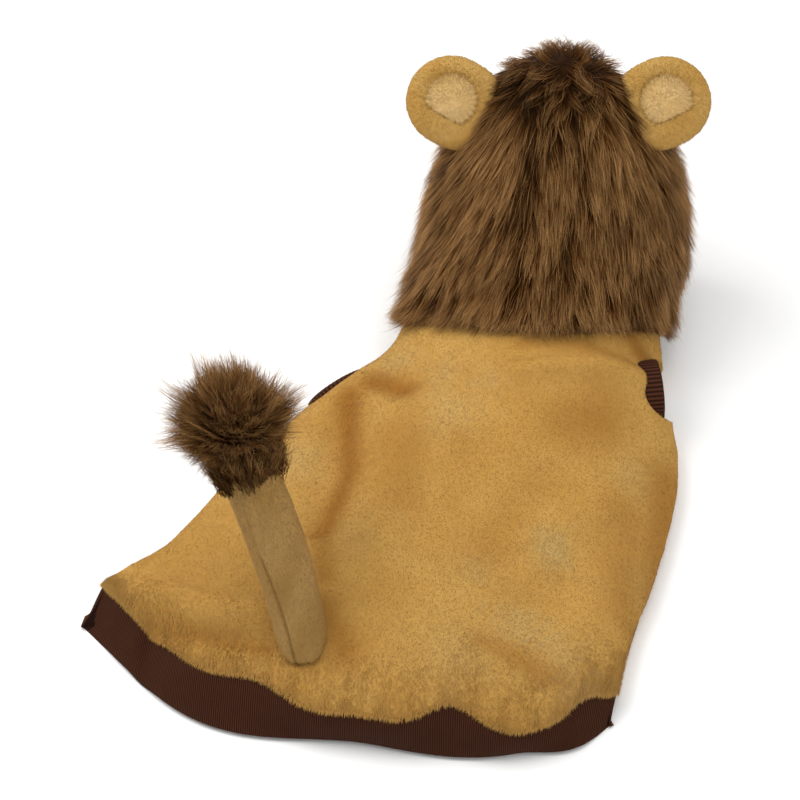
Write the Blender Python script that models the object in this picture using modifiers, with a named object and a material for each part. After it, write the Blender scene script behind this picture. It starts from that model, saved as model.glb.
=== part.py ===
"""Pet lion costume: a plush vest with a furry hood, ears, rib-knit trims and a stuffed tail.

It lies on its belly, back up, head towards +Y, hem towards -Y. Metres, +Z up, the floor at z = 0.
The origin ends up at the middle of the underside of the whole costume.
"""

import math

import bpy
from mathutils import Matrix, Vector

# Vest
BACK_LENGTH = 0.252
BODY_WIDTH = 0.300
SHOULDER_HEIGHT = 0.066
PLUSH_WALL = 0.0025
# Hem band
BAND_WIDTH = 0.027
LEFT_FLARE = 0.028
RIGHT_FLARE = 0.018
BAND_WALL = 0.003
# Leg cuffs
CUFF_DEPTH = 0.016
CUFF_WALL = 0.0025
# How far the cutter of a leg hole runs in and out of it, as shares of CUFF_DEPTH
HOLE_REACH = (-1.65, 2.0)
# place is how far along the vest, as t of vest_point, a leg hole lies. length is a share of BODY_WIDTH, height
# and lift above the side fold are shares of SHOULDER_HEIGHT, and out, how far the trim stands out of the
# hole, of CUFF_DEPTH.
CUFF_COLUMNS = ("side", "place", "length", "height", "lift", "out")
CUFFS = (
    ("left", 0.20, 0.153, 0.227, 0.000, -0.15),
    ("right", 0.20, 0.137, 0.545, 0.136, -0.50),
)
# Hood
HOOD_REACH = 0.150
THROAT_REACH = 0.042
HOOD_HEIGHT = 0.168
HOOD_LEAN = 0.0165
HOOD_WALL = 0.0025
FUR_DEPTH = 0.0085
FUR_ROOT = 0.0025
LOCK_POINT = 0.010
LIP_DEPTH = 0.0045
CROWN_TUFT = 0.006
# Ears
# Each ear's place as the two measures of hood_point, its middle from there in shares of EAR_RADIUS, the turn
# of its tip from +X in degrees, and which half of the inner patch has the straight side
EAR_COLUMNS = ("side", "along", "around", "aside", "onward", "above", "tilt", "lower")
EARS = (
    ("left", 0.70, 0.130, -0.611, 0.039, 0.468, 151, 1),
    ("right", 0.70, 0.365, 0.533, -0.035, 0.423, 25, -1),
)
EAR_RADIUS = 0.0280
EAR_FOOT = 0.0250
EAR_THICKNESS = 0.014
EAR_DISH = 0.0022
PATCH_RADIUS = 0.0162
PATCH_STRAIGHT = 0.0115
PATCH_THICKNESS = 0.0015
# Tail, its place as the two measures of vest_point
TAIL_PLACE = (0.85, 0.209)
TAIL_LENGTH = 0.102
# How deep the tube starts inside the vest before it is cut
TAIL_ROOT = 0.0137
TAIL_BASE_RADIUS = 0.0150
TAIL_TOP_RADIUS = 0.0165
TAIL_BOW = 0.003
TAIL_LEAN = (-0.29, 0.545, 0.787)
TUFT_RADIUS = 0.036
# How far the tuft's middle lies above the tail's top, as a share of its radius
TUFT_SINK = 0.72
TUFT_LOCK = 0.16
TUFT_WAVE = 0.03
# Heights of the tiers of locks on the tuft's ball, each tier's points first and then its roots
TUFT_TIERS = (-0.66, -0.42, -0.36, -0.12, -0.06, 0.16, 0.22, 0.44, 0.50, 0.70, 0.76, 0.92)
# Every two pieces that touch keep this much air, a little more along the gathered hem and under the tail
GAP = 0.0003
BAND_GAP = 0.0005
TAIL_GAP = 0.0008

# The middle of the neck seam, seen from above, before the origin is moved
NECK_X = 0.063
HEM_Y = -0.125
LOOK_DOWN = math.radians(50)

# Sections of the vest from neck to hem. x as shares of BODY_WIDTH from the neck's middle, y as shares of
# BACK_LENGTH from the hem's middle, heights as shares of SHOULDER_HEIGHT. back and belly are the middle of
# the upper and lower side, crown the height of the back, edge the height of the side fold, flat the share
# of the underside that lies on the floor.
VEST_COLUMNS = ("left_x", "left_y", "right_x", "right_y", "back_y", "belly_y", "crown", "edge", "flat")
VEST_SECTIONS = (
    (-0.262, 1.147, 0.262, 1.103, 1.000, 1.250, 1.00, 0.50, 0.20),
    (-0.305, 1.085, 0.268, 1.044, 0.902, 1.159, 0.98, 0.32, 0.45),
    (-0.405, 1.010, 0.282, 0.964, 0.804, 1.067, 0.92, 0.22, 0.62),
    (-0.505, 0.890, 0.284, 0.873, 0.706, 0.976, 0.86, 0.18, 0.70),
    (-0.600, 0.758, 0.288, 0.774, 0.608, 0.885, 0.80, 0.16, 0.72),
    (-0.670, 0.631, 0.277, 0.663, 0.510, 0.794, 0.76, 0.15, 0.72),
    (-0.732, 0.532, 0.253, 0.544, 0.412, 0.706, 0.73, 0.15, 0.72),
    (-0.784, 0.488, 0.227, 0.437, 0.314, 0.619, 0.70, 0.15, 0.72),
    (-0.820, 0.454, 0.190, 0.317, 0.216, 0.532, 0.65, 0.15, 0.72),
    (-0.840, 0.437, 0.160, 0.210, 0.118, 0.452, 0.55, 0.15, 0.72),
    (-0.847, 0.423, 0.140, 0.123, 0.020, 0.377, 0.41, 0.15, 0.72),
)

# Folds of the back: both ends as shares like the sections, height as a share of SHOULDER_HEIGHT and
# width of BODY_WIDTH. A negative height is a hollow.
FOLD_COLUMNS = ("from_x", "from_y", "to_x", "to_y", "height", "width")
FOLDS = (
    (-0.330, 0.960, -0.275, 0.890, -0.070, 0.030),
    (-0.378, 0.910, -0.396, 0.730, -0.120, 0.036),
    (-0.402, 0.650, -0.427, 0.500, -0.110, 0.038),
    (-0.480, 0.800, -0.520, 0.600, 0.060, 0.040),
    (-0.275, 0.780, -0.320, 0.450, 0.080, 0.050),
    (-0.040, 0.885, 0.240, 0.945, 0.090, 0.030),
    (0.130, 1.000, 0.225, 1.010, -0.090, 0.028),
    (-0.794, 0.379, -0.517, 0.230, 0.100, 0.030),
    (-0.740, 0.265, -0.520, 0.175, -0.090, 0.028),
    (-0.060, 0.420, 0.120, 0.560, 0.045, 0.040),
    (-0.120, 0.200, 0.040, 0.330, -0.050, 0.045),
)

# Waves of the hem seam: place across the hem from -1 at the left to 1 at the right, how far the seam is
# pulled up the back as a share of BACK_LENGTH, its rise as a share of SHOULDER_HEIGHT, and its width.
WAVE_COLUMNS = ("across", "pull", "rise", "width")
HEM_WAVES = (
    (-0.62, -0.010, 0.02, 0.10),
    (-0.38, 0.022, 0.03, 0.12),
    (-0.16, -0.012, -0.02, 0.12),
    (0.36, 0.056, 0.07, 0.13),
    (0.62, 0.000, -0.04, 0.09),
    (0.87, 0.028, 0.04, 0.08),
)

# Sections of the hood from the neck over the crown to the face. back_y as shares of HOOD_REACH and
# throat_y of THROAT_REACH, both from the neck seam, z of HOOD_HEIGHT, width of the neck's half width, lean
# of HOOD_LEAN. side is how far up the widest place lies, and round how gable-like the top is: 2 is an
# ellipse, 1 two straight slopes.
HOOD_COLUMNS = ("back_y", "back_z", "throat_y", "throat_z", "width", "lean", "side", "round")
HOOD_SECTIONS = (
    (0.147, 0.524, 0.14, 0.000, 0.985, 0.24, 0.47, 1.92),
    (0.327, 0.673, 0.29, 0.000, 0.975, 0.58, 0.45, 1.86),
    (0.507, 0.821, 0.43, 0.000, 0.970, 0.82, 0.44, 1.80),
    (0.673, 0.935, 0.57, 0.000, 0.955, 0.93, 0.43, 1.76),
    (0.813, 1.000, 0.71, 0.000, 0.920, 1.00, 0.42, 1.74),
    (0.927, 0.970, 0.86, 0.000, 0.870, 1.00, 0.42, 1.76),
    (1.000, 0.893, 1.00, 0.012, 0.810, 1.00, 0.42, 1.80),
)
NECK_ROWS = len(HOOD_SECTIONS)
CROWN_AT = 5 / NECK_ROWS

# How full the back is between the two side folds, and how square the hem turns at its corners
DOME_ROUND = 2.2
DOME_FULL = 0.72
HEM_SQUARE = 3

# The mound of fur on the crown: its half width across and its half length, as shares of the section and of s
CROWN_MOUND = (0.42, 0.12)
# Height of a throat point, as shares of HOOD_HEIGHT, where the fur starts and where it is at its full length
FUR_STARTS = 0.10
FUR_FULL = 0.24

# Grid sizes
VEST_ROWS = 22
VEST_AROUND = 36
BAND_ROWS = 3
LOCKS_AROUND = 14
LOCK_COLUMNS = 4
BACK_TIERS = 5
FACE_TIERS = 1
HOOD_LINING_ROWS = 8
EAR_AROUND = 26
EAR_SHARES = (0.45, 0.62, 0.80, 0.94, 1.0)
# The patch's edge as (share of its outline, share of its thickness)
PATCH_EDGE = ((0.50, 0.0), (0.88, 0.0), (1.0, 0.35), (0.94, 0.85), (0.80, 1.0), (0.50, 1.0))
TAIL_AROUND = 14
TAIL_ROWS = 9
CUFF_SIDES = 30
TUFT_AROUND = 24

MATERIALS = {
    "plush": ((0.48, 0.27, 0.055), 0.95),
    "fur": ((0.105, 0.052, 0.018), 0.9),
    "rib_knit": ((0.05, 0.021, 0.011), 0.95),
    "ear_plush": ((0.56, 0.33, 0.09), 0.95),
    "tail_plush": ((0.43, 0.27, 0.08), 0.95),
}


def collection(name):
    made = bpy.data.collections.new(name)
    bpy.context.scene.collection.children.link(made)
    return made


def material(name):
    made = bpy.data.materials.get(name)
    if made:
        return made
    colour, roughness = MATERIALS[name]
    made = bpy.data.materials.new(name)
    made.use_nodes = True
    shader = made.node_tree.nodes["Principled BSDF"]
    shader.inputs["Base Color"].default_value = (*colour, 1)
    shader.inputs["Roughness"].default_value = roughness
    shader.inputs["Metallic"].default_value = 0
    return made


def spline(rows, columns, where):
    """The values of a table at a place from 0 to 1, on a smooth curve through its rows."""
    at = min(max(where, 0.0), 1.0) * (len(rows) - 1)
    index = min(int(at), len(rows) - 2)
    f = at - index
    before = rows[max(index - 1, 0)]
    first = rows[index]
    second = rows[index + 1]
    after = rows[min(index + 2, len(rows) - 1)]
    values = []
    for a, b, c, d in zip(before, first, second, after):
        bend = 2 * a - 5 * b + 4 * c - d
        twist = -a + 3 * b - 3 * c + d
        values.append(0.5 * (2 * b + (c - a) * f + bend * f * f + twist * f * f * f))
    return dict(zip(columns, values))


def smooth(low, high, x):
    f = min(max((x - low) / (high - low), 0.0), 1.0)
    return f * f * (3 - 2 * f)


def bump(distance, width):
    return math.exp(-((distance / width) ** 2))


def from_segment(x, y, fold):
    """How far a point lies from a fold's line, in the plan."""
    start = Vector((NECK_X + fold["from_x"] * BODY_WIDTH, HEM_Y + fold["from_y"] * BACK_LENGTH))
    end = Vector((NECK_X + fold["to_x"] * BODY_WIDTH, HEM_Y + fold["to_y"] * BACK_LENGTH))
    along = end - start
    share = (Vector((x, y)) - start).dot(along) / along.length_squared
    return (Vector((x, y)) - start - along * min(max(share, 0.0), 1.0)).length


def vest_point(t, around, waves=True):
    """A point of the vest's outside: t from 0 at the neck to 1 at the hem, around from 0 at the left side
    over the back to 0.5 at the right side and along the belly to 1."""
    row = spline(VEST_SECTIONS, VEST_COLUMNS, t)
    u = -math.cos(2 * math.pi * around)
    left = Vector((NECK_X + row["left_x"] * BODY_WIDTH, HEM_Y + row["left_y"] * BACK_LENGTH))
    right = Vector((NECK_X + row["right_x"] * BODY_WIDTH, HEM_Y + row["right_y"] * BACK_LENGTH))
    plan = (left + right) / 2 + (right - left) / 2 * u
    edge = row["edge"] * SHOULDER_HEIGHT
    upper = around <= 0.5
    middle = HEM_Y + row["back_y" if upper else "belly_y"] * BACK_LENGTH
    sag = 2 + (HEM_SQUARE - 2) * smooth(0.3, 1, t)
    plan.y += (middle - (left.y + right.y) / 2) * (1 - abs(u) ** sag)
    if not upper:
        inward = max(0.0, (abs(u) - row["flat"]) / (1 - row["flat"]))
        return Vector((plan.x, plan.y, edge * (1 - math.sqrt(max(0.0, 1 - inward * inward)))))
    crown = row["crown"] * SHOULDER_HEIGHT
    dome = max(0.0, 1 - abs(u) ** DOME_ROUND) ** DOME_FULL
    height = edge + (crown - edge) * dome
    inside = smooth(0.0, 0.5, dome)
    for values in FOLDS:
        fold = dict(zip(FOLD_COLUMNS, values))
        fade = inside * smooth(0.0, 0.12, t)
        far = from_segment(plan.x, plan.y, fold)
        height += fold["height"] * SHOULDER_HEIGHT * fade * bump(far, fold["width"] * BODY_WIDTH)
    for values in HEM_WAVES if waves else ():
        wave = dict(zip(WAVE_COLUMNS, values))
        near = bump(u - wave["across"], wave["width"]) * smooth(0.55, 1.0, t) * smooth(0.0, 0.3, dome)
        plan.y += wave["pull"] * BACK_LENGTH * near
        height += wave["rise"] * SHOULDER_HEIGHT * near
    return Vector((plan.x, plan.y, height))


HEM_MIDDLE = Vector((NECK_X, HEM_Y, 0))
# What the hood takes from the vest's neck seam
NECK_BACK = vest_point(0, 0.25)
NECK_THROAT = vest_point(0, 0.75)
NECK_HALF_WIDTH = (vest_point(0, 0.5).x - vest_point(0, 0).x) / 2


def hood_section(row, around):
    """A point of one section of the hood, on its backing's outside."""
    u = -math.cos(2 * math.pi * around)
    back = Vector((0, NECK_BACK.y + HOOD_REACH * row["back_y"], HOOD_HEIGHT * row["back_z"]))
    throat = Vector((0, NECK_THROAT.y + THROAT_REACH * row["throat_y"], HOOD_HEIGHT * row["throat_z"]))
    side = row["side"]
    if around <= 0.5:
        share = side + (1 - side) * max(0.0, 1 - abs(u) ** row["round"]) ** (1 / row["round"])
    else:
        share = side * (1 - max(0.0, 1 - abs(u) ** 3) ** (1 / 3))
    point = throat + (back - throat) * share
    width = NECK_HALF_WIDTH * row["width"]
    return Vector((NECK_X + HOOD_LEAN * row["lean"] + width * u, point.y, point.z))


def hood_point(s, around):
    """A point of the hood's backing: s from 0 at the neck seam to 1 at the face, and below 0 over the vest."""
    if s <= 0:
        return vest_point(-s * HOOD_REACH / BACK_LENGTH, around)
    at = min(s, 1.0) * NECK_ROWS
    index = min(int(at), NECK_ROWS - 1)
    f = at - index
    corners = []
    for near in (index - 1, index, index + 1, index + 2):
        near = min(max(near, 0), NECK_ROWS)
        if near == 0:
            corners.append(vest_point(0, around))
        else:
            row = dict(zip(HOOD_COLUMNS, HOOD_SECTIONS[near - 1]))
            corners.append(hood_section(row, around))
    a, b, c, d = corners
    bend = 2 * a - 5 * b + 4 * c - d
    twist = -a + 3 * b - 3 * c + d
    return 0.5 * (2 * b + (c - a) * f + bend * f * f + twist * f * f * f)


def outward(point_at, along, around, least=0.0, way=1):
    """The unit normal of a surface that is closed around, pointing away from its hollow. way is -1 where
    the surface's first measure runs towards -Y."""
    step = 0.004
    down = point_at(max(along - step, least), around)
    up = point_at(min(along + step, 1), around)
    back = point_at(along, (around - step) % 1.0)
    on = point_at(along, (around + step) % 1.0)
    return (on - back).cross(up - down).normalized() * way


def grid_mesh(name, rings):
    """An open tube through rings of points. Its faces point away from the hollow when the rings run
    round as vest_point does, from the hem towards the neck."""
    count = len(rings[0])
    points = [point for ring in rings for point in ring]
    faces = []
    for i in range(len(rings) - 1):
        for j in range(count):
            on = (j + 1) % count
            faces.append((i * count + j, i * count + on, (i + 1) * count + on, (i + 1) * count + j))
    mesh = bpy.data.meshes.new(name)
    mesh.from_pydata(points, [], faces)
    return mesh


def shell_mesh(name, rings):
    """A walled tube: rings along its inside and back along its outside, joined at both rims."""
    count = len(rings[0])
    mesh = grid_mesh(name, rings)
    faces = [tuple(face.vertices) for face in mesh.polygons]
    points = [vertex.co.copy() for vertex in mesh.vertices]
    last = (len(rings) - 1) * count
    for j in range(count):
        on = (j + 1) % count
        faces.append((last + j, last + on, on, j))
    mesh.clear_geometry()
    mesh.from_pydata(points, [], faces)
    return mesh


def add_caps(mesh, rings, first, last):
    """Closes a tube at both ends with a fan round the given middle points."""
    count = len(rings[0])
    points = [vertex.co.copy() for vertex in mesh.vertices]
    faces = [tuple(face.vertices) for face in mesh.polygons]
    points += [first, last]
    start = (len(rings) - 1) * count
    for j in range(count):
        on = (j + 1) % count
        faces.append((on, j, len(points) - 2))
        faces.append((start + j, start + on, len(points) - 1))
    mesh.clear_geometry()
    mesh.from_pydata(points, [], faces)


def place(mesh, slot, where, root, at):
    """An object whose own origin is the given point."""
    mesh.transform(Matrix.Translation(-at))
    obj = bpy.data.objects.new(mesh.name, mesh)
    where.objects.link(obj)
    obj.parent = root
    obj.location = at
    if slot:
        mesh.materials.append(material(slot))
        mesh.shade_smooth()
        mesh.set_sharp_from_angle(angle=math.radians(50))
    return obj


def wall(obj, thickness):
    solidify = obj.modifiers.new("wall", "SOLIDIFY")
    solidify.thickness = thickness
    solidify.offset = -1


def make_cutter(mesh, cutters, root, at):
    cutter = place(mesh, None, cutters, root, at)
    cutter.hide_render = True
    cutter.display_type = "WIRE"
    return cutter


def cut(obj, cutter):
    boolean = obj.modifiers.new("cut", "BOOLEAN")
    boolean.operation = "DIFFERENCE"
    boolean.object = cutter


def arounds(count):
    """Places round a tube: twice as close on the back, which has the folds, as on the flat belly."""
    upper = count * 5 // 9
    lower = count - upper
    places = [0.5 * j / upper for j in range(upper)]
    return places + [0.5 + 0.5 * j / lower for j in range(lower)]


def vest_inside(t, around):
    return vest_point(t, around) - outward(vest_point, t, around, way=-1) * PLUSH_WALL


def make_vest(parts, root):
    places = arounds(VEST_AROUND)
    rings = [[vest_inside(i / VEST_ROWS, a) for a in places] for i in range(VEST_ROWS + 1)]
    rings += [[vest_point(i / VEST_ROWS, a) for a in places] for i in range(VEST_ROWS, -1, -1)]
    return place(shell_mesh("vest_body", rings), "plush", parts, root, HEM_MIDDLE)


def make_vest_blank(cutters, root):
    """The vest's outside grown by the gap and filled, which cuts the foot of the tail."""
    places = arounds(VEST_AROUND)
    grown = []
    for i in range(VEST_ROWS, -1, -1):
        t = i / VEST_ROWS
        grown.append([vest_point(t, a) + outward(vest_point, t, a, way=-1) * TAIL_GAP for a in places])
    blank = grid_mesh("vest_blank", grown)
    add_caps(blank, grown, sum(grown[0], Vector()) / len(places), sum(grown[-1], Vector()) / len(places))
    return make_cutter(blank, cutters, root, HEM_MIDDLE)


def band_gap(u):
    """Wider at the corners, where the hem turns under."""
    return BAND_GAP * (1 + (5 if u > 0 else 2) * smooth(0.88, 1, abs(u)))


def band_point(share, around):
    """A point of the hem band: share from 0 at the vest's hem to 1 at the free edge on the floor. It
    leaves the hem in line with the plush and then bends down."""
    seam = vest_point(1, around)
    leaving = (seam - vest_point(0.95, around)).normalized()
    u = -math.cos(2 * math.pi * around)
    middle = BAND_WALL * 1.3 if around <= 0.5 else BAND_WIDTH
    left = smooth(-0.10, 0.75, -u)
    right = smooth(0.60, 0.92, u)
    flare = middle + (LEFT_FLARE - middle) * left + (RIGHT_FLARE - middle) * right
    plain = vest_point(1, around, waves=False)
    away = plain - vest_point(0.95, around, waves=False)
    away.z = 0
    free = plain + away.normalized() * flare
    free.z = BAND_WALL * smooth(0, 0.15, 1 - abs(u)) if around <= 0.5 else 0
    start = seam + leaving * band_gap(u)
    turn = start + leaving * (BAND_WIDTH * 0.28)
    return start * (1 - share) ** 2 + turn * (2 * share * (1 - share)) + free * share**2


def band_inside(share, around):
    """The band's inside, which starts face to face with the rim of the vest."""
    seam = vest_point(1, around)
    leaving = (seam - vest_point(0.95, around)).normalized()
    rim = vest_inside(1, around) + leaving * band_gap(-math.cos(2 * math.pi * around))
    lining = band_point(share, around) - outward(band_point, share, around, way=-1) * BAND_WALL
    lining.z = max(lining.z, 0)
    return rim.lerp(lining, smooth(0, 0.5, share))


def make_band(parts, root):
    places = arounds(VEST_AROUND)
    shares = [i / BAND_ROWS for i in range(BAND_ROWS + 1)]
    rings = [[band_inside(share, a) for a in places] for share in shares]
    rings += [[band_point(share, a) for a in places] for share in reversed(shares)]
    return place(shell_mesh("hem_band", rings), "rib_knit", parts, root, HEM_MIDDLE)


def cuff_place(t, side):
    """The middle of a leg hole on the side fold, the way out of it and the way along it."""
    around = 0.0 if side == "left" else 0.5
    here = vest_point(t, around)
    along = vest_point(t + 0.04, around) - vest_point(t - 0.04, around)
    along.z = 0
    along.normalize()
    out = Vector((along.y, -along.x, 0))
    middle = (vest_point(t, 0.25) - here).xy
    if out.xy.dot(middle) > 0:
        out.negate()
    return here, out, along


def oval_ring(centre, out, along, length, height, depth):
    """Points of an oval at a depth along its axis, turning the same way round on both sides."""
    up = Vector((0, 0, 1))
    turn = 1 if out.cross(along).z > 0 else -1
    points = []
    for j in range(CUFF_SIDES):
        angle = 2 * math.pi * j / CUFF_SIDES * turn
        side = along * (length / 2 * math.cos(angle)) + up * (height / 2 * math.sin(angle))
        points.append(centre + out * depth + side)
    return points


def make_cuff(values, parts, cutters, root, vest):
    cuff_row = dict(zip(CUFF_COLUMNS, values))
    name = cuff_row["side"] + "_cuff"
    length = cuff_row["length"] * BODY_WIDTH
    height = cuff_row["height"] * SHOULDER_HEIGHT
    here, out, along = cuff_place(cuff_row["place"], cuff_row["side"])
    centre = Vector((here.x, here.y, here.z + cuff_row["lift"] * SHOULDER_HEIGHT))
    inner = centre + out * ((cuff_row["out"] - 1) * CUFF_DEPTH)
    rings = [
        oval_ring(inner, out, along, length, height, CUFF_DEPTH * depth)
        for depth in (0.0, 0.35, 0.7, 1.0)
    ]
    cuff = place(grid_mesh(name, rings), "rib_knit", parts, root, centre)
    wall(cuff, CUFF_WALL)
    grown_length = length + 2 * GAP
    grown_height = height + 2 * GAP
    hole = [
        oval_ring(centre, out, along, grown_length, grown_height, depth)
        for depth in (CUFF_DEPTH * HOLE_REACH[0], CUFF_DEPTH * HOLE_REACH[1])
    ]
    mesh = grid_mesh(name + "_hole", hole)
    add_caps(mesh, hole, sum(hole[0], Vector()) / CUFF_SIDES, sum(hole[1], Vector()) / CUFF_SIDES)
    cut(vest, make_cutter(mesh, cutters, root, centre))


def fur_cover(around, point):
    """1 where the hood carries long fur, falling to 0 where its throat lies on the floor."""
    if around <= 0.5:
        return 1.0
    return smooth(FUR_STARTS, FUR_FULL, point.z / HOOD_HEIGHT)


def lock_ridge(column, tier):
    phase = (column + 2 * (tier % 2)) % LOCK_COLUMNS
    return (0.0, 0.75, 1.0, 0.75)[phase]


def hood_rows():
    """Rows of the fur as (s, share of the way from a lock's point to its root, tier, direction)."""
    rows = []
    point = LOCK_POINT / (HOOD_REACH + HOOD_HEIGHT * 0.3)
    tier_length = CROWN_AT / BACK_TIERS
    for tier in range(BACK_TIERS):
        low = tier * tier_length
        root = low + tier_length - point * 1.15
        for share in (0.0, 0.35, 0.7, 1.0):
            rows.append((low + (root - low) * share, share, tier, -1))
    face_length = (1 - CROWN_AT) / FACE_TIERS
    for tier in range(FACE_TIERS):
        low = CROWN_AT + tier * face_length
        for share in (1.0, 0.6, 0.3, 0.0):
            rows.append((low + face_length * (1 - share) * 0.985, share, tier + BACK_TIERS, 1))
    return rows


def hood_start(around):
    """How far along the hood the gap to the vest's rim ends."""
    share = 0.02
    run = (hood_point(share, around) - hood_point(0, around)).length
    return min(share * 1.5 * GAP / max(run, GAP), 0.08)


def fur_point(row, column, columns, extra):
    """A point of the fur's outside, or that much further out."""
    s, share, tier, way = row
    around = column / columns
    start = hood_start(around)
    cover = fur_cover(around, hood_point(max(s, start), around))
    ridge = lock_ridge(column, tier)
    reach = LOCK_POINT / (HOOD_REACH + HOOD_HEIGHT * 0.3)
    first = tier == 0 and share == 0
    hang = smooth(0.5, 1.0, cover)
    if way < 0:
        s -= reach * ridge * (1 - share) * hang
    s += start * (1 - s)
    at = min(s, 1.0)
    depth = FUR_ROOT + (FUR_DEPTH - FUR_ROOT) * (1 - share) * (0.35 + 0.65 * ridge)
    if first:
        depth = LIP_DEPTH
    u = -math.cos(2 * math.pi * around)
    if around <= 0.5:
        depth += CROWN_TUFT * bump(u, CROWN_MOUND[0]) * bump(at - CROWN_AT - 0.03, CROWN_MOUND[1])
    point = hood_point(at, around) + outward(hood_point, at, around, least=-0.1) * (depth * cover + extra)
    point.z = max(point.z, 0.0)
    return point


def make_hood(parts, cutters, root):
    columns = LOCKS_AROUND * LOCK_COLUMNS
    rings = []
    for i in range(HOOD_LINING_ROWS, -1, -1):
        ring = []
        for j in range(columns):
            a = j / columns
            start = hood_start(a)
            s = start + (1 - start) * i / HOOD_LINING_ROWS
            ring.append(hood_point(s, a) - outward(hood_point, s, a, least=-0.1) * HOOD_WALL)
        rings.append(ring)
    brim = []
    for j in range(columns):
        a = j / columns
        start = hood_start(a)
        base = hood_point(start, a)
        cover = fur_cover(a, base)
        depth = -HOOD_WALL / 2 + (HOOD_WALL / 2 + 2 * GAP) * min(1.0, cover / 0.5)
        brim.append(base + outward(hood_point, start, a, least=-0.1) * depth)
    rings.append(brim)
    rows = hood_rows()
    for row in rows:
        rings.append([fur_point(row, j, columns, 0.0) for j in range(columns)])
    place(shell_mesh("hood", rings), "fur", parts, root, NECK_BACK)
    grown = [[fur_point(row, j, columns, 1.5 * GAP) for j in range(columns)] for row in rows]
    blank = grid_mesh("hood_blank", grown)
    add_caps(blank, grown, sum(grown[0], Vector()) / columns, sum(grown[-1], Vector()) / columns)
    return make_cutter(blank, cutters, root, NECK_BACK)


def ear_height(share, front):
    """Height of a stuffed ear over its middle plane, at a share of the way to its edge."""
    puff = EAR_THICKNESS / 2 * max(0.0, 1 - share**3.2) ** 0.5
    if not front:
        return -puff
    return puff - EAR_DISH * (1 - smooth(0.60, 0.80, share))


def ear_spot(centre, tilt, out, side, height):
    """A point of the ear from its middle: out towards its tip, side across it, height towards the viewer.
    The ear faces back and up. tilt turns its tip from +X."""
    up = Vector((0, math.sin(LOOK_DOWN), math.cos(LOOK_DOWN)))
    right = Vector((1, 0, 0))
    tip = right * math.cos(tilt) + up * math.sin(tilt)
    across = up * math.cos(tilt) - right * math.sin(tilt)
    return centre + tip * out + across * side + tip.cross(across) * height


def ear_outline(angle, share):
    """The outline shrunk to a share: a half circle at the tip, squarer towards the foot in the hood."""
    out = math.cos(angle)
    side = math.sin(angle)
    if out >= 0:
        return EAR_RADIUS * share * out, EAR_RADIUS * share * side
    square = 2 / 3.4
    side = math.copysign(abs(side) ** square, side)
    return -EAR_FOOT * share * abs(out) ** square, EAR_RADIUS * share * side


def make_ear(name, centre, tilt, parts, root, blank):
    angles = [2 * math.pi * j / EAR_AROUND for j in range(EAR_AROUND)]
    rings = []
    for front, shares in ((False, EAR_SHARES[:-1]), (True, EAR_SHARES[::-1])):
        for share in shares:
            height = ear_height(share, front)
            rings.append([ear_spot(centre, tilt, *ear_outline(angle, share), height) for angle in angles])
    mesh = grid_mesh(name, rings)
    back = ear_spot(centre, tilt, 0, 0, ear_height(0, False))
    front = ear_spot(centre, tilt, 0, 0, ear_height(0, True))
    add_caps(mesh, rings, back, front)
    cut(place(mesh, "ear_plush", parts, root, centre), blank)


def patch_outline(angle, share, lower):
    """A round pad with one straight side, which faces down and out on the ear."""
    out = PATCH_RADIUS * share * math.cos(angle)
    side = PATCH_RADIUS * share * math.sin(angle)
    return out, lower * min(lower * side, PATCH_STRAIGHT * share)


def make_patch(name, centre, tilt, lower, parts, root, blank):
    """The lighter inner ear, a thin pad in the dish of the ear's front."""
    angles = [2 * math.pi * j / EAR_AROUND for j in range(EAR_AROUND)]
    floor = ear_height(0, True) + 2 * GAP
    rings = []
    for share, rise in PATCH_EDGE:
        height = floor + PATCH_THICKNESS * rise
        outline = [patch_outline(angle, share, lower) for angle in angles]
        rings.append([ear_spot(centre, tilt, out, side, height) for out, side in outline])
    mesh = grid_mesh(name, rings)
    back = ear_spot(centre, tilt, 0, 0, floor)
    front = ear_spot(centre, tilt, 0, 0, floor + PATCH_THICKNESS)
    add_caps(mesh, rings, back, front)
    cut(place(mesh, "ear_plush", parts, root, centre), blank)


def tail_line(share):
    """The middle of the tail from its foot on the back to its top."""
    foot = vest_point(*TAIL_PLACE)
    lean = Vector(TAIL_LEAN).normalized()
    bow = TAIL_BOW * 4 * share * (1 - share)
    return foot + lean * (TAIL_LENGTH * share) + Vector((bow, 0, 0))


def tail_frame(share):
    along = (tail_line(min(share + 0.02, 1.2)) - tail_line(share - 0.02)).normalized()
    side = along.cross(Vector((0, 0, 1))).normalized()
    return along, side, along.cross(side)


def tail_ring(share, radius):
    along, side, rise = tail_frame(share)
    middle = tail_line(share)
    points = []
    for j in range(TAIL_AROUND):
        angle = 2 * math.pi * j / TAIL_AROUND
        points.append(middle + (side * math.cos(angle) + rise * math.sin(angle)) * radius)
    return points


def tail_radius(share):
    return TAIL_BASE_RADIUS + (TAIL_TOP_RADIUS - TAIL_BASE_RADIUS) * smooth(0, 0.6, share)


def make_tail(parts, root, blank):
    """A stuffed tube that starts inside the vest and is cut where it meets the plush."""
    rings = []
    first = -TAIL_ROOT / TAIL_LENGTH
    for share in [first] + [i / TAIL_ROWS for i in range(TAIL_ROWS + 1)]:
        rings.append(tail_ring(share, tail_radius(share)))
    mesh = grid_mesh("tail", rings)
    add_caps(mesh, rings, tail_line(first), tail_line(1))
    cut(place(mesh, "tail_plush", parts, root, tail_line(0)), blank)


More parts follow.
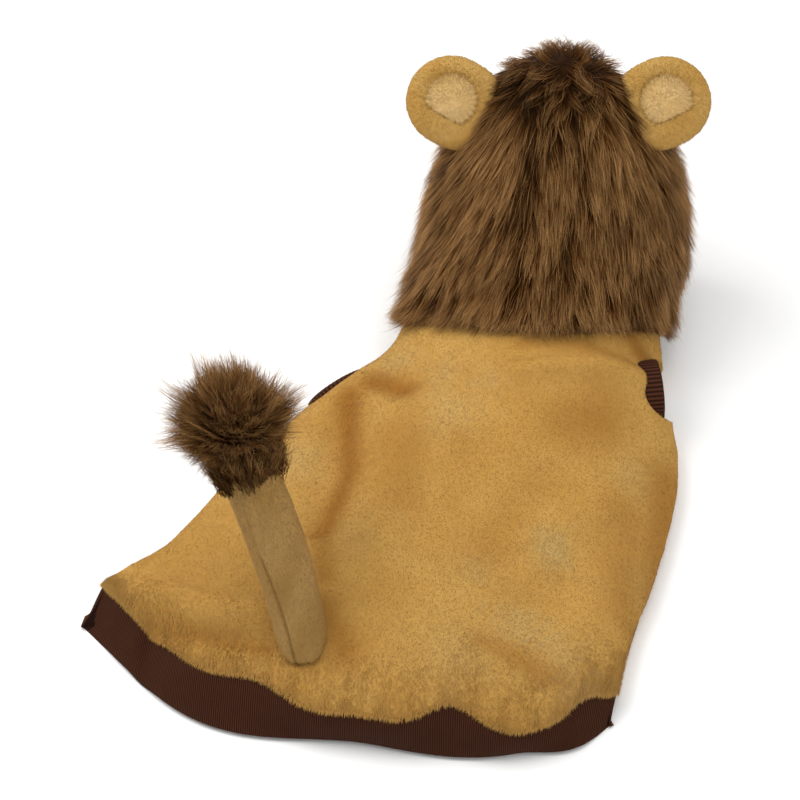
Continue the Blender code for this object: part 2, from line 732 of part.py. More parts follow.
def make_tuft(parts, root):
    """The brush at the tail's end: locks in tiers round a core, from a flat foot on the tail's top."""
    along, side, rise = tail_frame(1)
    foot = tail_line(1) + along * (2 * GAP)
    centre = foot + along * (TUFT_RADIUS * TUFT_SINK)
    rings = []
    reach = TAIL_TOP_RADIUS * 0.8
    ring = []
    for j in range(TUFT_AROUND):
        angle = 2 * math.pi * j / TUFT_AROUND
        ring.append(foot + (side * math.cos(angle) + rise * math.sin(angle)) * reach)
    rings.append(ring)
    for i, height in enumerate(TUFT_TIERS):
        ring = []
        tier = i // 2
        tip = i % 2 == 0
        for j in range(TUFT_AROUND):
            angle = 2 * math.pi * j / TUFT_AROUND
            point = (j + tier) % 2
            lock = (TUFT_LOCK if tip else 0.02) * point
            far = TUFT_RADIUS * (1 - TUFT_LOCK + lock + TUFT_WAVE * math.sin(3 * angle + i))
            up = height + (0.07 * point if tip else 0)
            wide = math.sqrt(max(0.0, 1 - up * up)) * far
            around = (side * math.cos(angle) + rise * math.sin(angle)) * wide
            ring.append(centre + around + along * (far * up))
        rings.append(ring)
    mesh = grid_mesh("tail_tuft", rings)
    add_caps(mesh, rings, foot, centre + along * (TUFT_RADIUS * 0.98))
    place(mesh, "fur", parts, root, foot)


def centre_on_underside(root):
    """Moves the whole costume so that the origin is the middle of its underside."""
    bpy.context.view_layer.update()
    graph = bpy.context.evaluated_depsgraph_get()
    corners = []
    for obj in root.children:
        if not obj.hide_render:
            placed = obj.evaluated_get(graph)
            corners += [placed.matrix_world @ Vector(corner) for corner in placed.bound_box]
    low = [min(corner[axis] for corner in corners) for axis in range(3)]
    high = [max(corner[axis] for corner in corners) for axis in range(3)]
    root.location = (-(low[0] + high[0]) / 2, -(low[1] + high[1]) / 2, -low[2])


for old in list(bpy.data.objects):
    bpy.data.objects.remove(old)
parts_in = collection("pet_lion_costume")
cutters_in = collection("cutters")
costume_origin = bpy.data.objects.new("costume_origin", None)
parts_in.objects.link(costume_origin)

vest_body = make_vest(parts_in, costume_origin)
make_band(parts_in, costume_origin)
for cuff_values in CUFFS:
    make_cuff(cuff_values, parts_in, cutters_in, costume_origin, vest_body)
hood_blank = make_hood(parts_in, cutters_in, costume_origin)
for ear_values in EARS:
    ear = dict(zip(EAR_COLUMNS, ear_values))
    ear_name = "ear_" + ear["side"]
    ear_offset = Vector((ear["aside"], ear["onward"], ear["above"])) * EAR_RADIUS
    ear_centre = hood_point(ear["along"], ear["around"]) + ear_offset
    ear_tilt = math.radians(ear["tilt"])
    make_ear(ear_name, ear_centre, ear_tilt, parts_in, costume_origin, hood_blank)
    make_patch(ear_name + "_inner", ear_centre, ear_tilt, ear["lower"], parts_in, costume_origin, hood_blank)
make_tail(parts_in, costume_origin, make_vest_blank(cutters_in, costume_origin))
make_tuft(parts_in, costume_origin)
centre_on_underside(costume_origin)
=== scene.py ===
import math

import bpy
import numpy as np
from mathutils import Matrix, Vector


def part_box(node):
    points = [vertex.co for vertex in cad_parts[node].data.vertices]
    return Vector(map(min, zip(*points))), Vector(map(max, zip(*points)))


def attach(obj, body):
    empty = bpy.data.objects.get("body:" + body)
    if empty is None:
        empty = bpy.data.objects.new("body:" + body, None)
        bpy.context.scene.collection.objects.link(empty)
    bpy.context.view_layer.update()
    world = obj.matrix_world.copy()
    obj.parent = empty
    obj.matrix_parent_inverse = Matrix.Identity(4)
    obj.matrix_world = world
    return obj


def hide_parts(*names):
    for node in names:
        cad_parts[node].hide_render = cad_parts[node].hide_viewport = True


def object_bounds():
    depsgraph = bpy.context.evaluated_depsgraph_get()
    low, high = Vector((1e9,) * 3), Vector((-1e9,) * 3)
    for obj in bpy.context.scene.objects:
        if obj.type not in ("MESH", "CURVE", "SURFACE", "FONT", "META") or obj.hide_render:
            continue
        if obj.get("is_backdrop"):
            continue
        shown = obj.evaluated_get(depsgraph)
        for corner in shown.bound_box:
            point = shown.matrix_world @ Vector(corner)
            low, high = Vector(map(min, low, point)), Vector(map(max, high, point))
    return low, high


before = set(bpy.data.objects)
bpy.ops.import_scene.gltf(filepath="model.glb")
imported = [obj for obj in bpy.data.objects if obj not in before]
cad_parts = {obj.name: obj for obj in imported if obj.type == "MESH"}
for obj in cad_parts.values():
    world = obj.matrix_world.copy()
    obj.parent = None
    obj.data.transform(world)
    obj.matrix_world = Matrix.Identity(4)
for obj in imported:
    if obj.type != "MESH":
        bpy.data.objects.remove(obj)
cadLow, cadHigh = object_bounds()
bpy.ops.object.select_all(action="DESELECT")
print("stage 1: frame loaded,", len(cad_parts), "nodes")

mm = 0.001


# Colours and nodes

def linear(code):
    # "#rrggbb" as a linear colour with alpha
    values = [int(code[i:i + 2], 16) / 255 for i in (1, 3, 5)]
    return (*[v / 12.92 if v <= 0.04045 else ((v + 0.055) / 1.055) ** 2.4 for v in values], 1.0)


def addNode(material, kind, settings=None, **links):
    # settings: attributes by name, or socket values by "in:Name"; links: input = (node, output)
    node = material.node_tree.nodes.new(kind)
    for name, value in (settings or {}).items():
        if name.startswith("in:"):
            node.inputs[name[3:]].default_value = value
        else:
            setattr(node, name, value)
    for name, source in links.items():
        material.node_tree.links.new(source[0].outputs[source[1]], node.inputs[name])
    return node


def newMaterial(name, roughness, settings):
    material = bpy.data.materials.new(name)
    material.use_nodes = True
    shader = material.node_tree.nodes["Principled BSDF"]
    shader.inputs["Roughness"].default_value = roughness
    for key, value in settings.items():
        shader.inputs[key].default_value = value
    return material, shader


def ramp(material, source, stops):
    # stops: (place, colour code)
    node = addNode(material, "ShaderNodeValToRGB", None, Fac=source)
    elements = node.color_ramp.elements
    while len(elements) < len(stops):
        elements.new(0.5)
    for element, (place, code) in zip(elements, stops):
        element.position = place
        element.color = linear(code)
    return node, "Color"


def mixed(material, kind, factor, first, second):
    # mixes two colours; factor is a number or a (node, output)
    node = addNode(material, "ShaderNodeMix", {"data_type": "RGBA", "blend_type": kind})
    links = material.node_tree.links
    if isinstance(factor, tuple):
        links.new(factor[0].outputs[factor[1]], node.inputs[0])
    else:
        node.inputs[0].default_value = factor
    for socket, source in ((6, first), (7, second)):
        if isinstance(source, str):
            node.inputs[socket].default_value = linear(source)
        else:
            links.new(source[0].outputs[source[1]], node.inputs[socket])
    return node, 2


def painted(material, shader, colour, height=None, strength=0.0, distance=0.0):
    # joins a colour to the shader, and a bump where a height is given
    links = material.node_tree.links
    links.new(colour[0].outputs[colour[1]], shader.inputs["Base Color"])
    if height:
        settings = {"in:Strength": strength, "in:Distance": distance}
        bump = addNode(material, "ShaderNodeBump", settings, Height=height)
        links.new(bump.outputs["Normal"], shader.inputs["Normal"])
    return material


def attribute(material, name):
    return addNode(material, "ShaderNodeAttribute", {"attribute_name": name}), "Fac"


def noise(material, size, detail=3.0, roughness=0.55, stretch=(1, 1, 1)):
    # size is the real size of one blotch
    place = addNode(material, "ShaderNodeTexCoord")
    turned = addNode(material, "ShaderNodeMapping", {"in:Scale": stretch}, Vector=(place, "Object"))
    settings = {"in:Scale": 1 / size, "in:Detail": detail, "in:Roughness": roughness}
    return addNode(material, "ShaderNodeTexNoise", settings, Vector=(turned, "Vector")), "Fac"


# Short-pile polyester plush, cut and brushed: a soft sheen at the edges and a nap that shows every stroke
def plushMaterial(name, dark, base, light, patch):
    material, shader = newMaterial(name, 0.92, {
        "Sheen Weight": 0.3, "Sheen Roughness": 0.4, "Sheen Tint": linear(light),
        "Specular IOR Level": 0.15,
    })
    broad = ramp(material, noise(material, 45 * mm, 3.0), [(0.38, base), (0.64, light)])
    brushed = noise(material, 4 * mm, 4.0, 0.6, (1, 0.5, 1))
    fine = ramp(material, brushed, [(0.2, dark), (0.35, base), (0.75, light)])
    both = mixed(material, "MIX", 0.18, broad, fine)
    # the pale colour goes where the nap is crushed and where highlights are painted; the dark colour goes on
    # dark seams and on painted shade in creases, in the ears' valleys and at the tail's foot
    crushed = mixed(material, "MIX", attribute(material, "crush"), both, patch)
    folded = mixed(material, "MIX", attribute(material, "fold"), crushed, dark)
    return painted(material, shader, folded, noise(material, 1.1 * mm, 4.0, 0.6), 0.15, 0.5 * mm)


def addTone(material, low, middle):
    # the "tone" attribute as a grey that lightens or darkens a colour
    return ramp(material, attribute(material, "tone"), [(0.0, low), (0.5, middle), (1.0, "#ffffff")])


# The pile itself: fine polyester fibres in tufts, darker at the root, with a silky end
def pileMaterial(name, root, base, tip, patch):
    material, shader = newMaterial(name, 0.7, {
        "Sheen Weight": 0.3, "Sheen Roughness": 0.4, "Sheen Tint": linear(tip), "Specular IOR Level": 0.2,
    })
    along = ramp(material, attribute(material, "reach"), [(0.0, root), (0.45, base), (1.0, tip)])
    # the pale colour for crushed nap and painted highlights; the root colour for dark seams and painted shade
    crushed = mixed(material, "MIX", attribute(material, "crush"), along, patch)
    folded = mixed(material, "MIX", attribute(material, "fold"), crushed, root)
    shaded = mixed(material, "MULTIPLY", 1.0, folded, addTone(material, "#bcb6ae", "#ebe8e3"))
    return painted(material, shader, shaded)


# Long acrylic faux fur: dark at the root, brown along the length, paler ends, with a soft warm gloss; the
# dark root is partly painted shade between the locks, and the pale ends are partly painted highlight
def furMaterial(name, root, base, tip):
    material, shader = newMaterial(name, 0.5, {"Specular IOR Level": 0.25, "Specular Tint": linear(tip)})
    along = ramp(material, attribute(material, "reach"), [(0.0, root), (0.5, base), (1.0, tip)])
    shaded = mixed(material, "MULTIPLY", 1.0, along, addTone(material, "#433a30", "#c2bab0"))
    return painted(material, shader, shaded)


# Two-by-two rib knit in dark brown cotton: matt cords with shadow in the grooves between them
def ribMaterial(name, groove, cord, worn):
    material, shader = newMaterial(name, 0.95, {
        "Sheen Weight": 0.25, "Sheen Roughness": 0.5, "Sheen Tint": linear(worn), "Specular IOR Level": 0.1,
    })
    across = ramp(material, attribute(material, "rib"), [(0.15, groove), (0.75, cord)])
    fuzz = ramp(material, noise(material, 9 * mm, 5.0, 0.7), [(0.4, cord), (0.75, worn)])
    both = mixed(material, "SOFT_LIGHT", 0.5, across, fuzz)
    return painted(material, shader, both, noise(material, 0.9 * mm, 4.0, 0.7), 0.5, 0.5 * mm)


# The knitted back of a pile cloth: plain, dull, with loops 1.5 mm apart
def backingMaterial(name, dark, light):
    material, shader = newMaterial(name, 0.95, {"Specular IOR Level": 0.1})
    place = addNode(material, "ShaderNodeTexCoord")
    loops = addNode(material, "ShaderNodeTexVoronoi", {"in:Scale": 1 / (1.5 * mm)}, Vector=(place, "Object"))
    colour = ramp(material, (loops, "Distance"), [(0.0, light), (0.7, dark)])
    patchy = ramp(material, noise(material, 25 * mm), [(0.3, dark), (0.7, light)])
    both = mixed(material, "MIX", 0.4, colour, patchy)
    return painted(material, shader, both, (loops, "Distance"), 0.3, 0.3 * mm)


vestPlush = plushMaterial("shortPileGoldPlush", "#8d5a1c", "#b38640", "#bd934d", "#b4955c")
vestPile = pileMaterial("goldPlushPile", "#a87831", "#b68942", "#c39953", "#bc9e66")
earPlush = plushMaterial("earTanPlush", "#8f6829", "#b08642", "#bb9350", "#c9a664")
earPile = pileMaterial("earPlushPile", "#a0762f", "#b48b45", "#c09952", "#ccaa68")
patchPlush = plushMaterial("innerEarPlush", "#8f6829", "#c9a669", "#d4b379", "#dbbc86")
patchPile = pileMaterial("innerEarPile", "#a67c36", "#cfac70", "#dcbd86", "#e2c693")
tailPlush = plushMaterial("tailPalePlush", "#654a20", "#96733d", "#a37f49", "#b28f58")
tailPile = pileMaterial("tailPlushPile", "#755629", "#9a7741", "#ac8851", "#bb9962")
maneFur = furMaterial("maneFauxFur", "#190d05", "#6c441d", "#cfa068")
maneUnder = furMaterial("maneUndercoat", "#1a0e06", "#3a220f", "#5a3b1e")
tuftFur = furMaterial("tuftFauxFur", "#382312", "#8b6034", "#d0a56d")
ribKnit = ribMaterial("darkRibKnit", "#2a1710", "#5a3826", "#7a5844")
plushBack = backingMaterial("plushBacking", "#8a6a3a", "#a98a55")
furBack = backingMaterial("furBacking", "#2c1d12", "#463122")
print("stage 2: materials")


# Shapes shared by the pieces

def smoothStep(low, high, x):
    f = np.clip((x - low) / (high - low), 0, 1)
    return f * f * (3 - 2 * f)


def unit(vectors):
    return vectors / np.maximum(np.linalg.norm(vectors, axis=-1, keepdims=True), 1e-9)


def curveThrough(values, at):
    # values (rows, ...) read at a place from 0 to 1 on a smooth curve through the rows
    at = np.clip(at, 0, 1) * (len(values) - 1)
    index = np.minimum(at.astype(int), len(values) - 2)
    f = (at - index)[:, None]
    last = len(values) - 1
    picks = [np.clip(index + k, 0, last) for k in (-1, 0, 1, 2)]
    if values.ndim == 3:
        many = np.arange(len(at))
        a, b, c, d = [values[pick, many] for pick in picks]
    else:
        a, b, c, d = [values[pick] for pick in picks]
    return 0.5 * (2 * b + (c - a) * f + (2 * a - 5 * b + 4 * c - d) * f**2 + (-a + 3 * b - 3 * c + d) * f**3)


vestLow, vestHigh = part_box("vest_body")
vest = {
    "length": 0.252,
    "width": 0.300,
    "height": 0.066,
    "wall": 0.0025,
    "rows": 110,
    "around": 190,
    "puckerDepth": 0.0007,
    "puckerPitch": 0.013,
    "pileCount": 125000,
    "pileLength": 0.0016,
    "pileWidth": 0.00052,
    "pileLift": 0.22,
    "fringeCount": 21000,
    "fringeLength": 0.0045,
    "fringeWidth": 0.00042,
    # neck to hem: leftX, leftY, rightX, rightY, backY, bellyY, crown, edge, flat
    "sections": np.array([
        (-0.262, 1.147, 0.262, 1.103, 1.000, 1.250, 1.00, 0.50, 0.20),
        (-0.305, 1.085, 0.268, 1.044, 0.902, 1.159, 0.98, 0.32, 0.45),
        (-0.405, 1.010, 0.282, 0.964, 0.804, 1.067, 0.92, 0.22, 0.62),
        (-0.505, 0.890, 0.284, 0.873, 0.706, 0.976, 0.86, 0.18, 0.70),
        (-0.600, 0.758, 0.288, 0.774, 0.608, 0.885, 0.80, 0.16, 0.72),
        (-0.670, 0.631, 0.277, 0.663, 0.510, 0.794, 0.76, 0.15, 0.72),
        (-0.732, 0.532, 0.253, 0.544, 0.412, 0.706, 0.73, 0.15, 0.72),
        (-0.784, 0.488, 0.227, 0.437, 0.314, 0.619, 0.70, 0.15, 0.72),
        (-0.820, 0.454, 0.190, 0.317, 0.216, 0.532, 0.65, 0.15, 0.72),
        (-0.840, 0.437, 0.160, 0.210, 0.118, 0.452, 0.55, 0.15, 0.72),
        (-0.847, 0.423, 0.140, 0.123, 0.020, 0.377, 0.41, 0.15, 0.72),
    ]),
    # both ends as shares of width and length, height, width
    "folds": (
        (-0.330, 0.960, -0.275, 0.890, -0.070, 0.030),
        (-0.378, 0.910, -0.396, 0.730, -0.120, 0.036),
        (-0.402, 0.650, -0.427, 0.500, -0.110, 0.038),
        (-0.480, 0.800, -0.520, 0.600, 0.060, 0.040),
        (-0.275, 0.780, -0.320, 0.450, 0.080, 0.050),
        (-0.040, 0.885, 0.240, 0.945, 0.090, 0.030),
        (0.130, 1.000, 0.225, 1.010, -0.090, 0.028),
        (-0.794, 0.379, -0.517, 0.230, 0.100, 0.030),
        (-0.740, 0.265, -0.520, 0.175, -0.090, 0.028),
        (-0.060, 0.420, 0.120, 0.560, 0.045, 0.040),
        (-0.120, 0.200, 0.040, 0.330, -0.050, 0.045),
    ),
    # along the hem: place, pull up the back, rise, width
    "waves": (
        (-0.62, -0.010, 0.02, 0.10),
        (-0.38, 0.022, 0.03, 0.12),
        (-0.16, -0.012, -0.02, 0.12),
        (0.36, 0.056, 0.07, 0.13),
        (0.62, 0.000, -0.04, 0.09),
        (0.87, 0.028, 0.04, 0.08),
    ),
}
# the neck's middle and the hem's line, from the vest's own box in the frame
neckX = vestLow.x - vest["sections"][:, 0].min() * vest["width"]
hemY = vestHigh.y - vest["sections"][:, 5].max() * vest["length"]


def farFromLine(x, y, fromX, fromY, toX, toY):
    # plan distance from a line given as shares of the vest's width and length
    start = np.array((neckX + fromX * vest["width"], hemY + fromY * vest["length"]))
    along = np.array((neckX + toX * vest["width"], hemY + toY * vest["length"])) - start
    share = np.clip(((x - start[0]) * along[0] + (y - start[1]) * along[1]) / max(along @ along, 1e-9), 0, 1)
    return np.hypot(x - start[0] - along[0] * share, y - start[1] - along[1] * share)


def vestPoints(t, around, waves=True):
    # t from the neck to the hem, around from the left side over the back and along the belly
    t = np.asarray(t, float)
    around = np.asarray(around, float)
    leftX, leftY, rightX, rightY, backY, bellyY, crown, edge, flat = curveThrough(vest["sections"], t).T
    u = -np.cos(2 * np.pi * around)
    upper = around <= 0.5
    x = neckX + vest["width"] * ((leftX + rightX) / 2 + (rightX - leftX) / 2 * u)
    y = hemY + vest["length"] * ((leftY + rightY) / 2 + (rightY - leftY) / 2 * u)
    middle = hemY + vest["length"] * np.where(upper, backY, bellyY)
    straight = hemY + vest["length"] * (leftY + rightY) / 2
    y = y + (middle - straight) * (1 - np.abs(u) ** (2 + smoothStep(0.3, 1, t)))
    edge = edge * vest["height"]
    inward = np.clip((np.abs(u) - flat) / (1 - flat), 0, 1)
    below = edge * (1 - np.sqrt(1 - inward**2))
    dome = np.clip(1 - np.abs(u) ** 2.2, 0, 1) ** 0.72
    above = edge + (crown * vest["height"] - edge) * dome
    fade = smoothStep(0, 0.5, dome) * smoothStep(0, 0.12, t)
    for *line, height, width in vest["folds"]:
        far = farFromLine(x, y, *line)
        above = above + height * vest["height"] * fade * np.exp(-((far / (width * vest["width"])) ** 2))
    if waves:
        for across, pull, rise, width in vest["waves"]:
            near = np.exp(-(((u - across) / width) ** 2)) * smoothStep(0.55, 1, t) * smoothStep(0, 0.3, dome)
            y = np.where(upper, y + pull * vest["length"] * near, y)
            above = above + rise * vest["height"] * near
    return np.stack([x, y, np.where(upper, above, below)], axis=-1)


hood = {
    "reach": 0.150,
    "throatReach": 0.042,
    "height": 0.168,
    "lean": 0.0165,
    "wall": 0.0025,
    "undercoat": 0.0035,
    "rows": 44,
    "around": 150,
    # neck to face: backY, backZ, throatY, throatZ, width, lean, side, round
    "sections": (
        (0.147, 0.524, 0.14, 0.000, 0.985, 0.24, 0.47, 1.92),
        (0.327, 0.673, 0.29, 0.000, 0.975, 0.58, 0.45, 1.86),
        (0.507, 0.821, 0.43, 0.000, 0.970, 0.82, 0.44, 1.80),
        (0.673, 0.935, 0.57, 0.000, 0.955, 0.93, 0.43, 1.76),
        (0.813, 1.000, 0.71, 0.000, 0.920, 1.00, 0.42, 1.74),
        (0.927, 0.970, 0.86, 0.000, 0.870, 1.00, 0.42, 1.76),
        (1.000, 0.893, 1.00, 0.012, 0.810, 1.00, 0.42, 1.80),
    ),
}
neckLeft, neckBack, neckRight, neckThroat = vestPoints([0, 0, 0, 0], [0, 0.25, 0.5, 0.75])


def hoodPoints(s, around):
    # s from 0 at the neck seam to 1 at the face; below 0 it runs on over the vest
    s = np.asarray(s, float)
    around = np.asarray(around, float) % 1.0
    u = -np.cos(2 * np.pi * around)
    stations = [vestPoints(np.zeros_like(s), around)]
    half = (neckRight[0] - neckLeft[0]) / 2
    for backY, backZ, throatY, throatZ, width, lean, side, roundness in hood["sections"]:
        lower = side * (1 - np.clip(1 - np.abs(u) ** 3, 0, 1) ** (1 / 3))
        upper = side + (1 - side) * np.clip(1 - np.abs(u) ** roundness, 0, 1) ** (1 / roundness)
        share = np.where(around <= 0.5, upper, lower)
        lowY = neckThroat[1] + hood["throatReach"] * throatY
        lowZ = hood["height"] * throatZ
        y = lowY + (neckBack[1] + hood["reach"] * backY - lowY) * share
        z = lowZ + (hood["height"] * backZ - lowZ) * share
        stations.append(np.stack([neckX + hood["lean"] * lean + half * width * u, y, z], axis=-1))
    on = curveThrough(np.array(stations), np.clip(s, 0, 1))
    below = vestPoints(np.clip(-s * hood["reach"] / vest["length"], 0, 1), around)
    return np.where((s < 0)[:, None], below, on)


def surfaceFrames(points, along, around, step=0.004):
    # unit vectors along and around a closed surface, its outward normal, and metres per unit of each measure
    forward = points(along + step, around) - points(along - step, around)
    sideways = points(along, around + step) - points(along, around - step)
    normal = unit(np.cross(sideways, forward))
    perAlong = np.linalg.norm(forward, axis=-1) / (2 * step)
    perAround = np.linalg.norm(sideways, axis=-1) / (2 * step)
    return unit(forward), unit(sideways), normal, np.maximum(perAlong, 1e-4), np.maximum(perAround, 1e-4)


def gridOver(along, around):
    # every pair of the two measures, as flat arrays, and the grid's shape
    first, second = np.meshgrid(along, around, indexing="ij")
    return first.ravel(), second.ravel(), first.shape


def gridObject(name, rings, material, **values):
    # an open tube through rings of points (rows, columns, 3)
    rows, columns = rings.shape[:2]
    i, j = np.meshgrid(np.arange(rows - 1), np.arange(columns), indexing="ij")
    here, beside = i * columns + j, i * columns + (j + 1) % columns
    quads = np.stack([here, beside, beside + columns, here + columns], axis=-1)
    return meshObject(name, rings.reshape(-1, 3), quads.reshape(-1, 4), material, **values)


def meshObject(name, points, faces, material, **values):
    # faces all have the same number of corners; values are float attributes, one per point
    mesh = bpy.data.meshes.new(name)
    corners = faces.shape[1]
    mesh.vertices.add(len(points))
    mesh.vertices.foreach_set("co", points.astype(np.float32).ravel())
    mesh.loops.add(faces.size)
    mesh.loops.foreach_set("vertex_index", faces.astype(np.int32).ravel())
    mesh.polygons.add(len(faces))
    mesh.polygons.foreach_set("loop_start", np.arange(0, faces.size, corners, dtype=np.int32))
    mesh.polygons.foreach_set("loop_total", np.full(len(faces), corners, np.int32))
    mesh.update(calc_edges=True)
    mesh.validate()
    mesh.shade_smooth()
    mesh.materials.append(material)
    obj = bpy.data.objects.new(name, mesh)
    bpy.context.scene.collection.objects.link(obj)
    giveValues(obj, **values)
    return obj


def giveValues(obj, **values):
    # float attributes for the materials, one value per point
    for key, value in values.items():
        layer = obj.data.attributes.new(key, "FLOAT", "POINT")
        layer.data.foreach_set("value", value.astype(np.float32).ravel())


def coordinates(obj, kind="co"):
    # the points of a mesh, or with "normal" their normals
    values = np.empty(len(obj.data.vertices) * 3, np.float32)
    obj.data.vertices.foreach_get(kind, values)
    return values.reshape(-1, 3).astype(float)


def moveTo(obj, points):
    obj.data.vertices.foreach_set("co", points.astype(np.float32).ravel())
    obj.data.update()


def applied(obj, *modifiers):
    # adds modifiers one by one and applies each: (kind, settings)
    bpy.ops.object.select_all(action="DESELECT")
    bpy.context.view_layer.objects.active = obj
    obj.select_set(True)
    for kind, settings in modifiers:
        modifier = obj.modifiers.new(kind.lower(), kind)
        for name, value in settings.items():
            setattr(modifier, name, value)
        bpy.ops.object.modifier_apply(modifier=modifier.name)
    return obj


def thickened(obj, thickness, back=None):
    # gives a sheet its wall on the inside, with its own material for the back
    settings = {"thickness": thickness, "offset": -1}
    if back:
        obj.data.materials.append(back)
        settings.update(material_offset=1, material_offset_rim=0)
    return applied(obj, ("SOLIDIFY", settings))


def finished(obj, slotName, *nodes):
    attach(obj, "root")
    if nodes:
        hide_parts(*nodes)
    return obj


def strands(name, paths, sides, widths, tones, material, crush=None):
    # one tapering ribbon for each path (count, steps, 3), a point at its end
    count, steps = paths.shape[:2]
    taper = np.linspace(1, 0.45, steps - 1)[None, :, None]
    half = sides[:, None, :] * (widths[:, None, None] / 2) * taper
    body = paths[:, :-1]
    points = np.concatenate([body - half, body + half, paths[:, -1:]], axis=1)
    points[..., 2] = np.maximum(points[..., 2], 0)
    per = 2 * (steps - 1) + 1
    start = (np.arange(count) * per)[:, None]
    faces = []
    for k in range(steps - 2):
        left, right = k, k + steps - 1
        faces.append(np.concatenate([start + left, start + right, start + right + 1], axis=1))
        faces.append(np.concatenate([start + left, start + right + 1, start + left + 1], axis=1))
    faces.append(np.concatenate([start + steps - 2, start + 2 * steps - 3, start + per - 1], axis=1))
    reach = np.linspace(0, 1, steps)
    reach = np.tile(np.concatenate([reach[:-1], reach[:-1], reach[-1:]]), count)
    values = {"reach": reach, "tone": np.repeat(tones, per)}
    # the marks, when given: crushed nap with painted highlights, and dark seams with painted shade
    if crush is not None:
        values["crush"] = np.repeat(crush[0], per)
        values["fold"] = np.repeat(crush[1], per)
    return meshObject(name, points.reshape(-1, 3), np.concatenate(faces), material, **values)


def scattered(obj, count, seed, keep=None):
    # random points on a mesh, even by area, with their normals; keep filters faces by centre and normal
    mesh = obj.data
    mesh.calc_loop_triangles()
    tris = np.empty(len(mesh.loop_triangles) * 3, np.int32)
    mesh.loop_triangles.foreach_get("vertices", tris)
    corners = coordinates(obj)[tris.reshape(-1, 3)]
    cross = np.cross(corners[:, 1] - corners[:, 0], corners[:, 2] - corners[:, 0])
    area = np.linalg.norm(cross, axis=1)
    if keep is not None:
        area = area * keep(corners.mean(1), unit(cross))
    draw = np.random.default_rng(seed)
    picked = draw.choice(len(area), count, p=area / area.sum())
    a, b = draw.random((2, count, 1))
    over = (a + b) > 1
    a, b = np.where(over, 1 - a, a), np.where(over, 1 - b, b)
    first, second, third = corners[picked, 0], corners[picked, 1], corners[picked, 2]
    return first + (second - first) * a + (third - first) * b, unit(cross)[picked], draw


def pileOn(name, obj, looks, flow, marks, material, seed, keep=None):
    # short tufts on a surface, one triangle each, lying along the flow; marks gives crushed nap with painted
    # highlights, and dark seams with painted shade
    count = looks["pileCount"]
    points, normals, draw = scattered(obj, count, seed, keep)
    direction = flow(points) + draw.normal(0, 0.2, (count, 3))
    direction = unit(direction - normals * np.sum(direction * normals, axis=1, keepdims=True))
    crush, fold = marks(points)
    crush = np.clip(crush * draw.uniform(0.1, 1.5, count), 0, 1)
    rise = looks["pileLift"] * (1 + 0.8 * crush) * draw.uniform(0.6, 1.4, count)
    reach = looks["pileLength"] * draw.uniform(0.65, 1.15, count)
    tips = points + (direction + normals * rise[:, None]) * reach[:, None]
    roll = draw.uniform(-0.3, 0.3, (count, 1))
    sides = unit(np.cross(direction, normals) * np.cos(roll) + normals * np.sin(roll))
    tones = np.clip(draw.normal(0.65, 0.12, count), 0, 1)
    paths = np.stack([points - normals * 0.2 * mm, tips], axis=1)
    return strands(name, paths, sides, np.full(count, looks["pileWidth"]), tones, material, (crush, fold))


# Camera, light and floor

view = {
    "elevation": 50,
    "distance": 1.8,
    "target": (neckX - 0.0816, hemY + 0.2545, 0.0),
    "lens": 130.6,
    "floor": "#fbfbfa",
    "sky": 0.55,
}


tilt = math.radians(view["elevation"])
towardsView = np.array((0, -math.cos(tilt), math.sin(tilt)))


def makeStage():
    target = Vector(view["target"])
    camera = bpy.data.objects.new("camera", bpy.data.cameras.new("camera"))
    camera.data.lens = view["lens"]
    camera.data.clip_end = 20
    camera.location = target + Vector(towardsView) * view["distance"]
    camera.rotation_euler = (math.pi / 2 - tilt, 0, 0)
    bpy.context.scene.collection.objects.link(camera)
    bpy.context.scene.camera = camera
    lamps = (
        # name, place, size, watts
        ("key", (-1.1, 0.4, 1.4), 1.4, 23),
        ("fill", (1.3, -0.6, 1.1), 1.6, 7),
        ("top", (0.3, 0.2, 2.0), 1.4, 12),
    )
    for name, place, size, watts in lamps:
        light = bpy.data.lights.new(name, "AREA")
        light.size = size
        light.energy = watts
        lamp = bpy.data.objects.new(name, light)
        lamp.location = place
        lamp.rotation_euler = (Vector((0, 0, 0.05)) - Vector(place)).to_track_quat("-Z", "Y").to_euler()
        bpy.context.scene.collection.objects.link(lamp)
    world = bpy.data.worlds.new("studio")
    world.use_nodes = True
    background = world.node_tree.nodes["Background"]
    background.inputs["Color"].default_value = linear("#ffffff")
    background.inputs["Strength"].default_value = view["sky"]
    bpy.context.scene.world = world
    bpy.context.scene.view_settings.view_transform = "Standard"
    bpy.ops.mesh.primitive_plane_add(size=8, location=(0, 0, 0))
    floor = bpy.context.active_object
    floor.name = "floor"
    material, shader = newMaterial("paleFloor", 0.9, {"Base Color": linear(view["floor"])})
    floor.data.materials.append(material)
    floor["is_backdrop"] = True


makeStage()
print("stage 3: camera, lights, floor")


# The vest: plush cloth with its folds, small puckers along the hem, and the pile on it

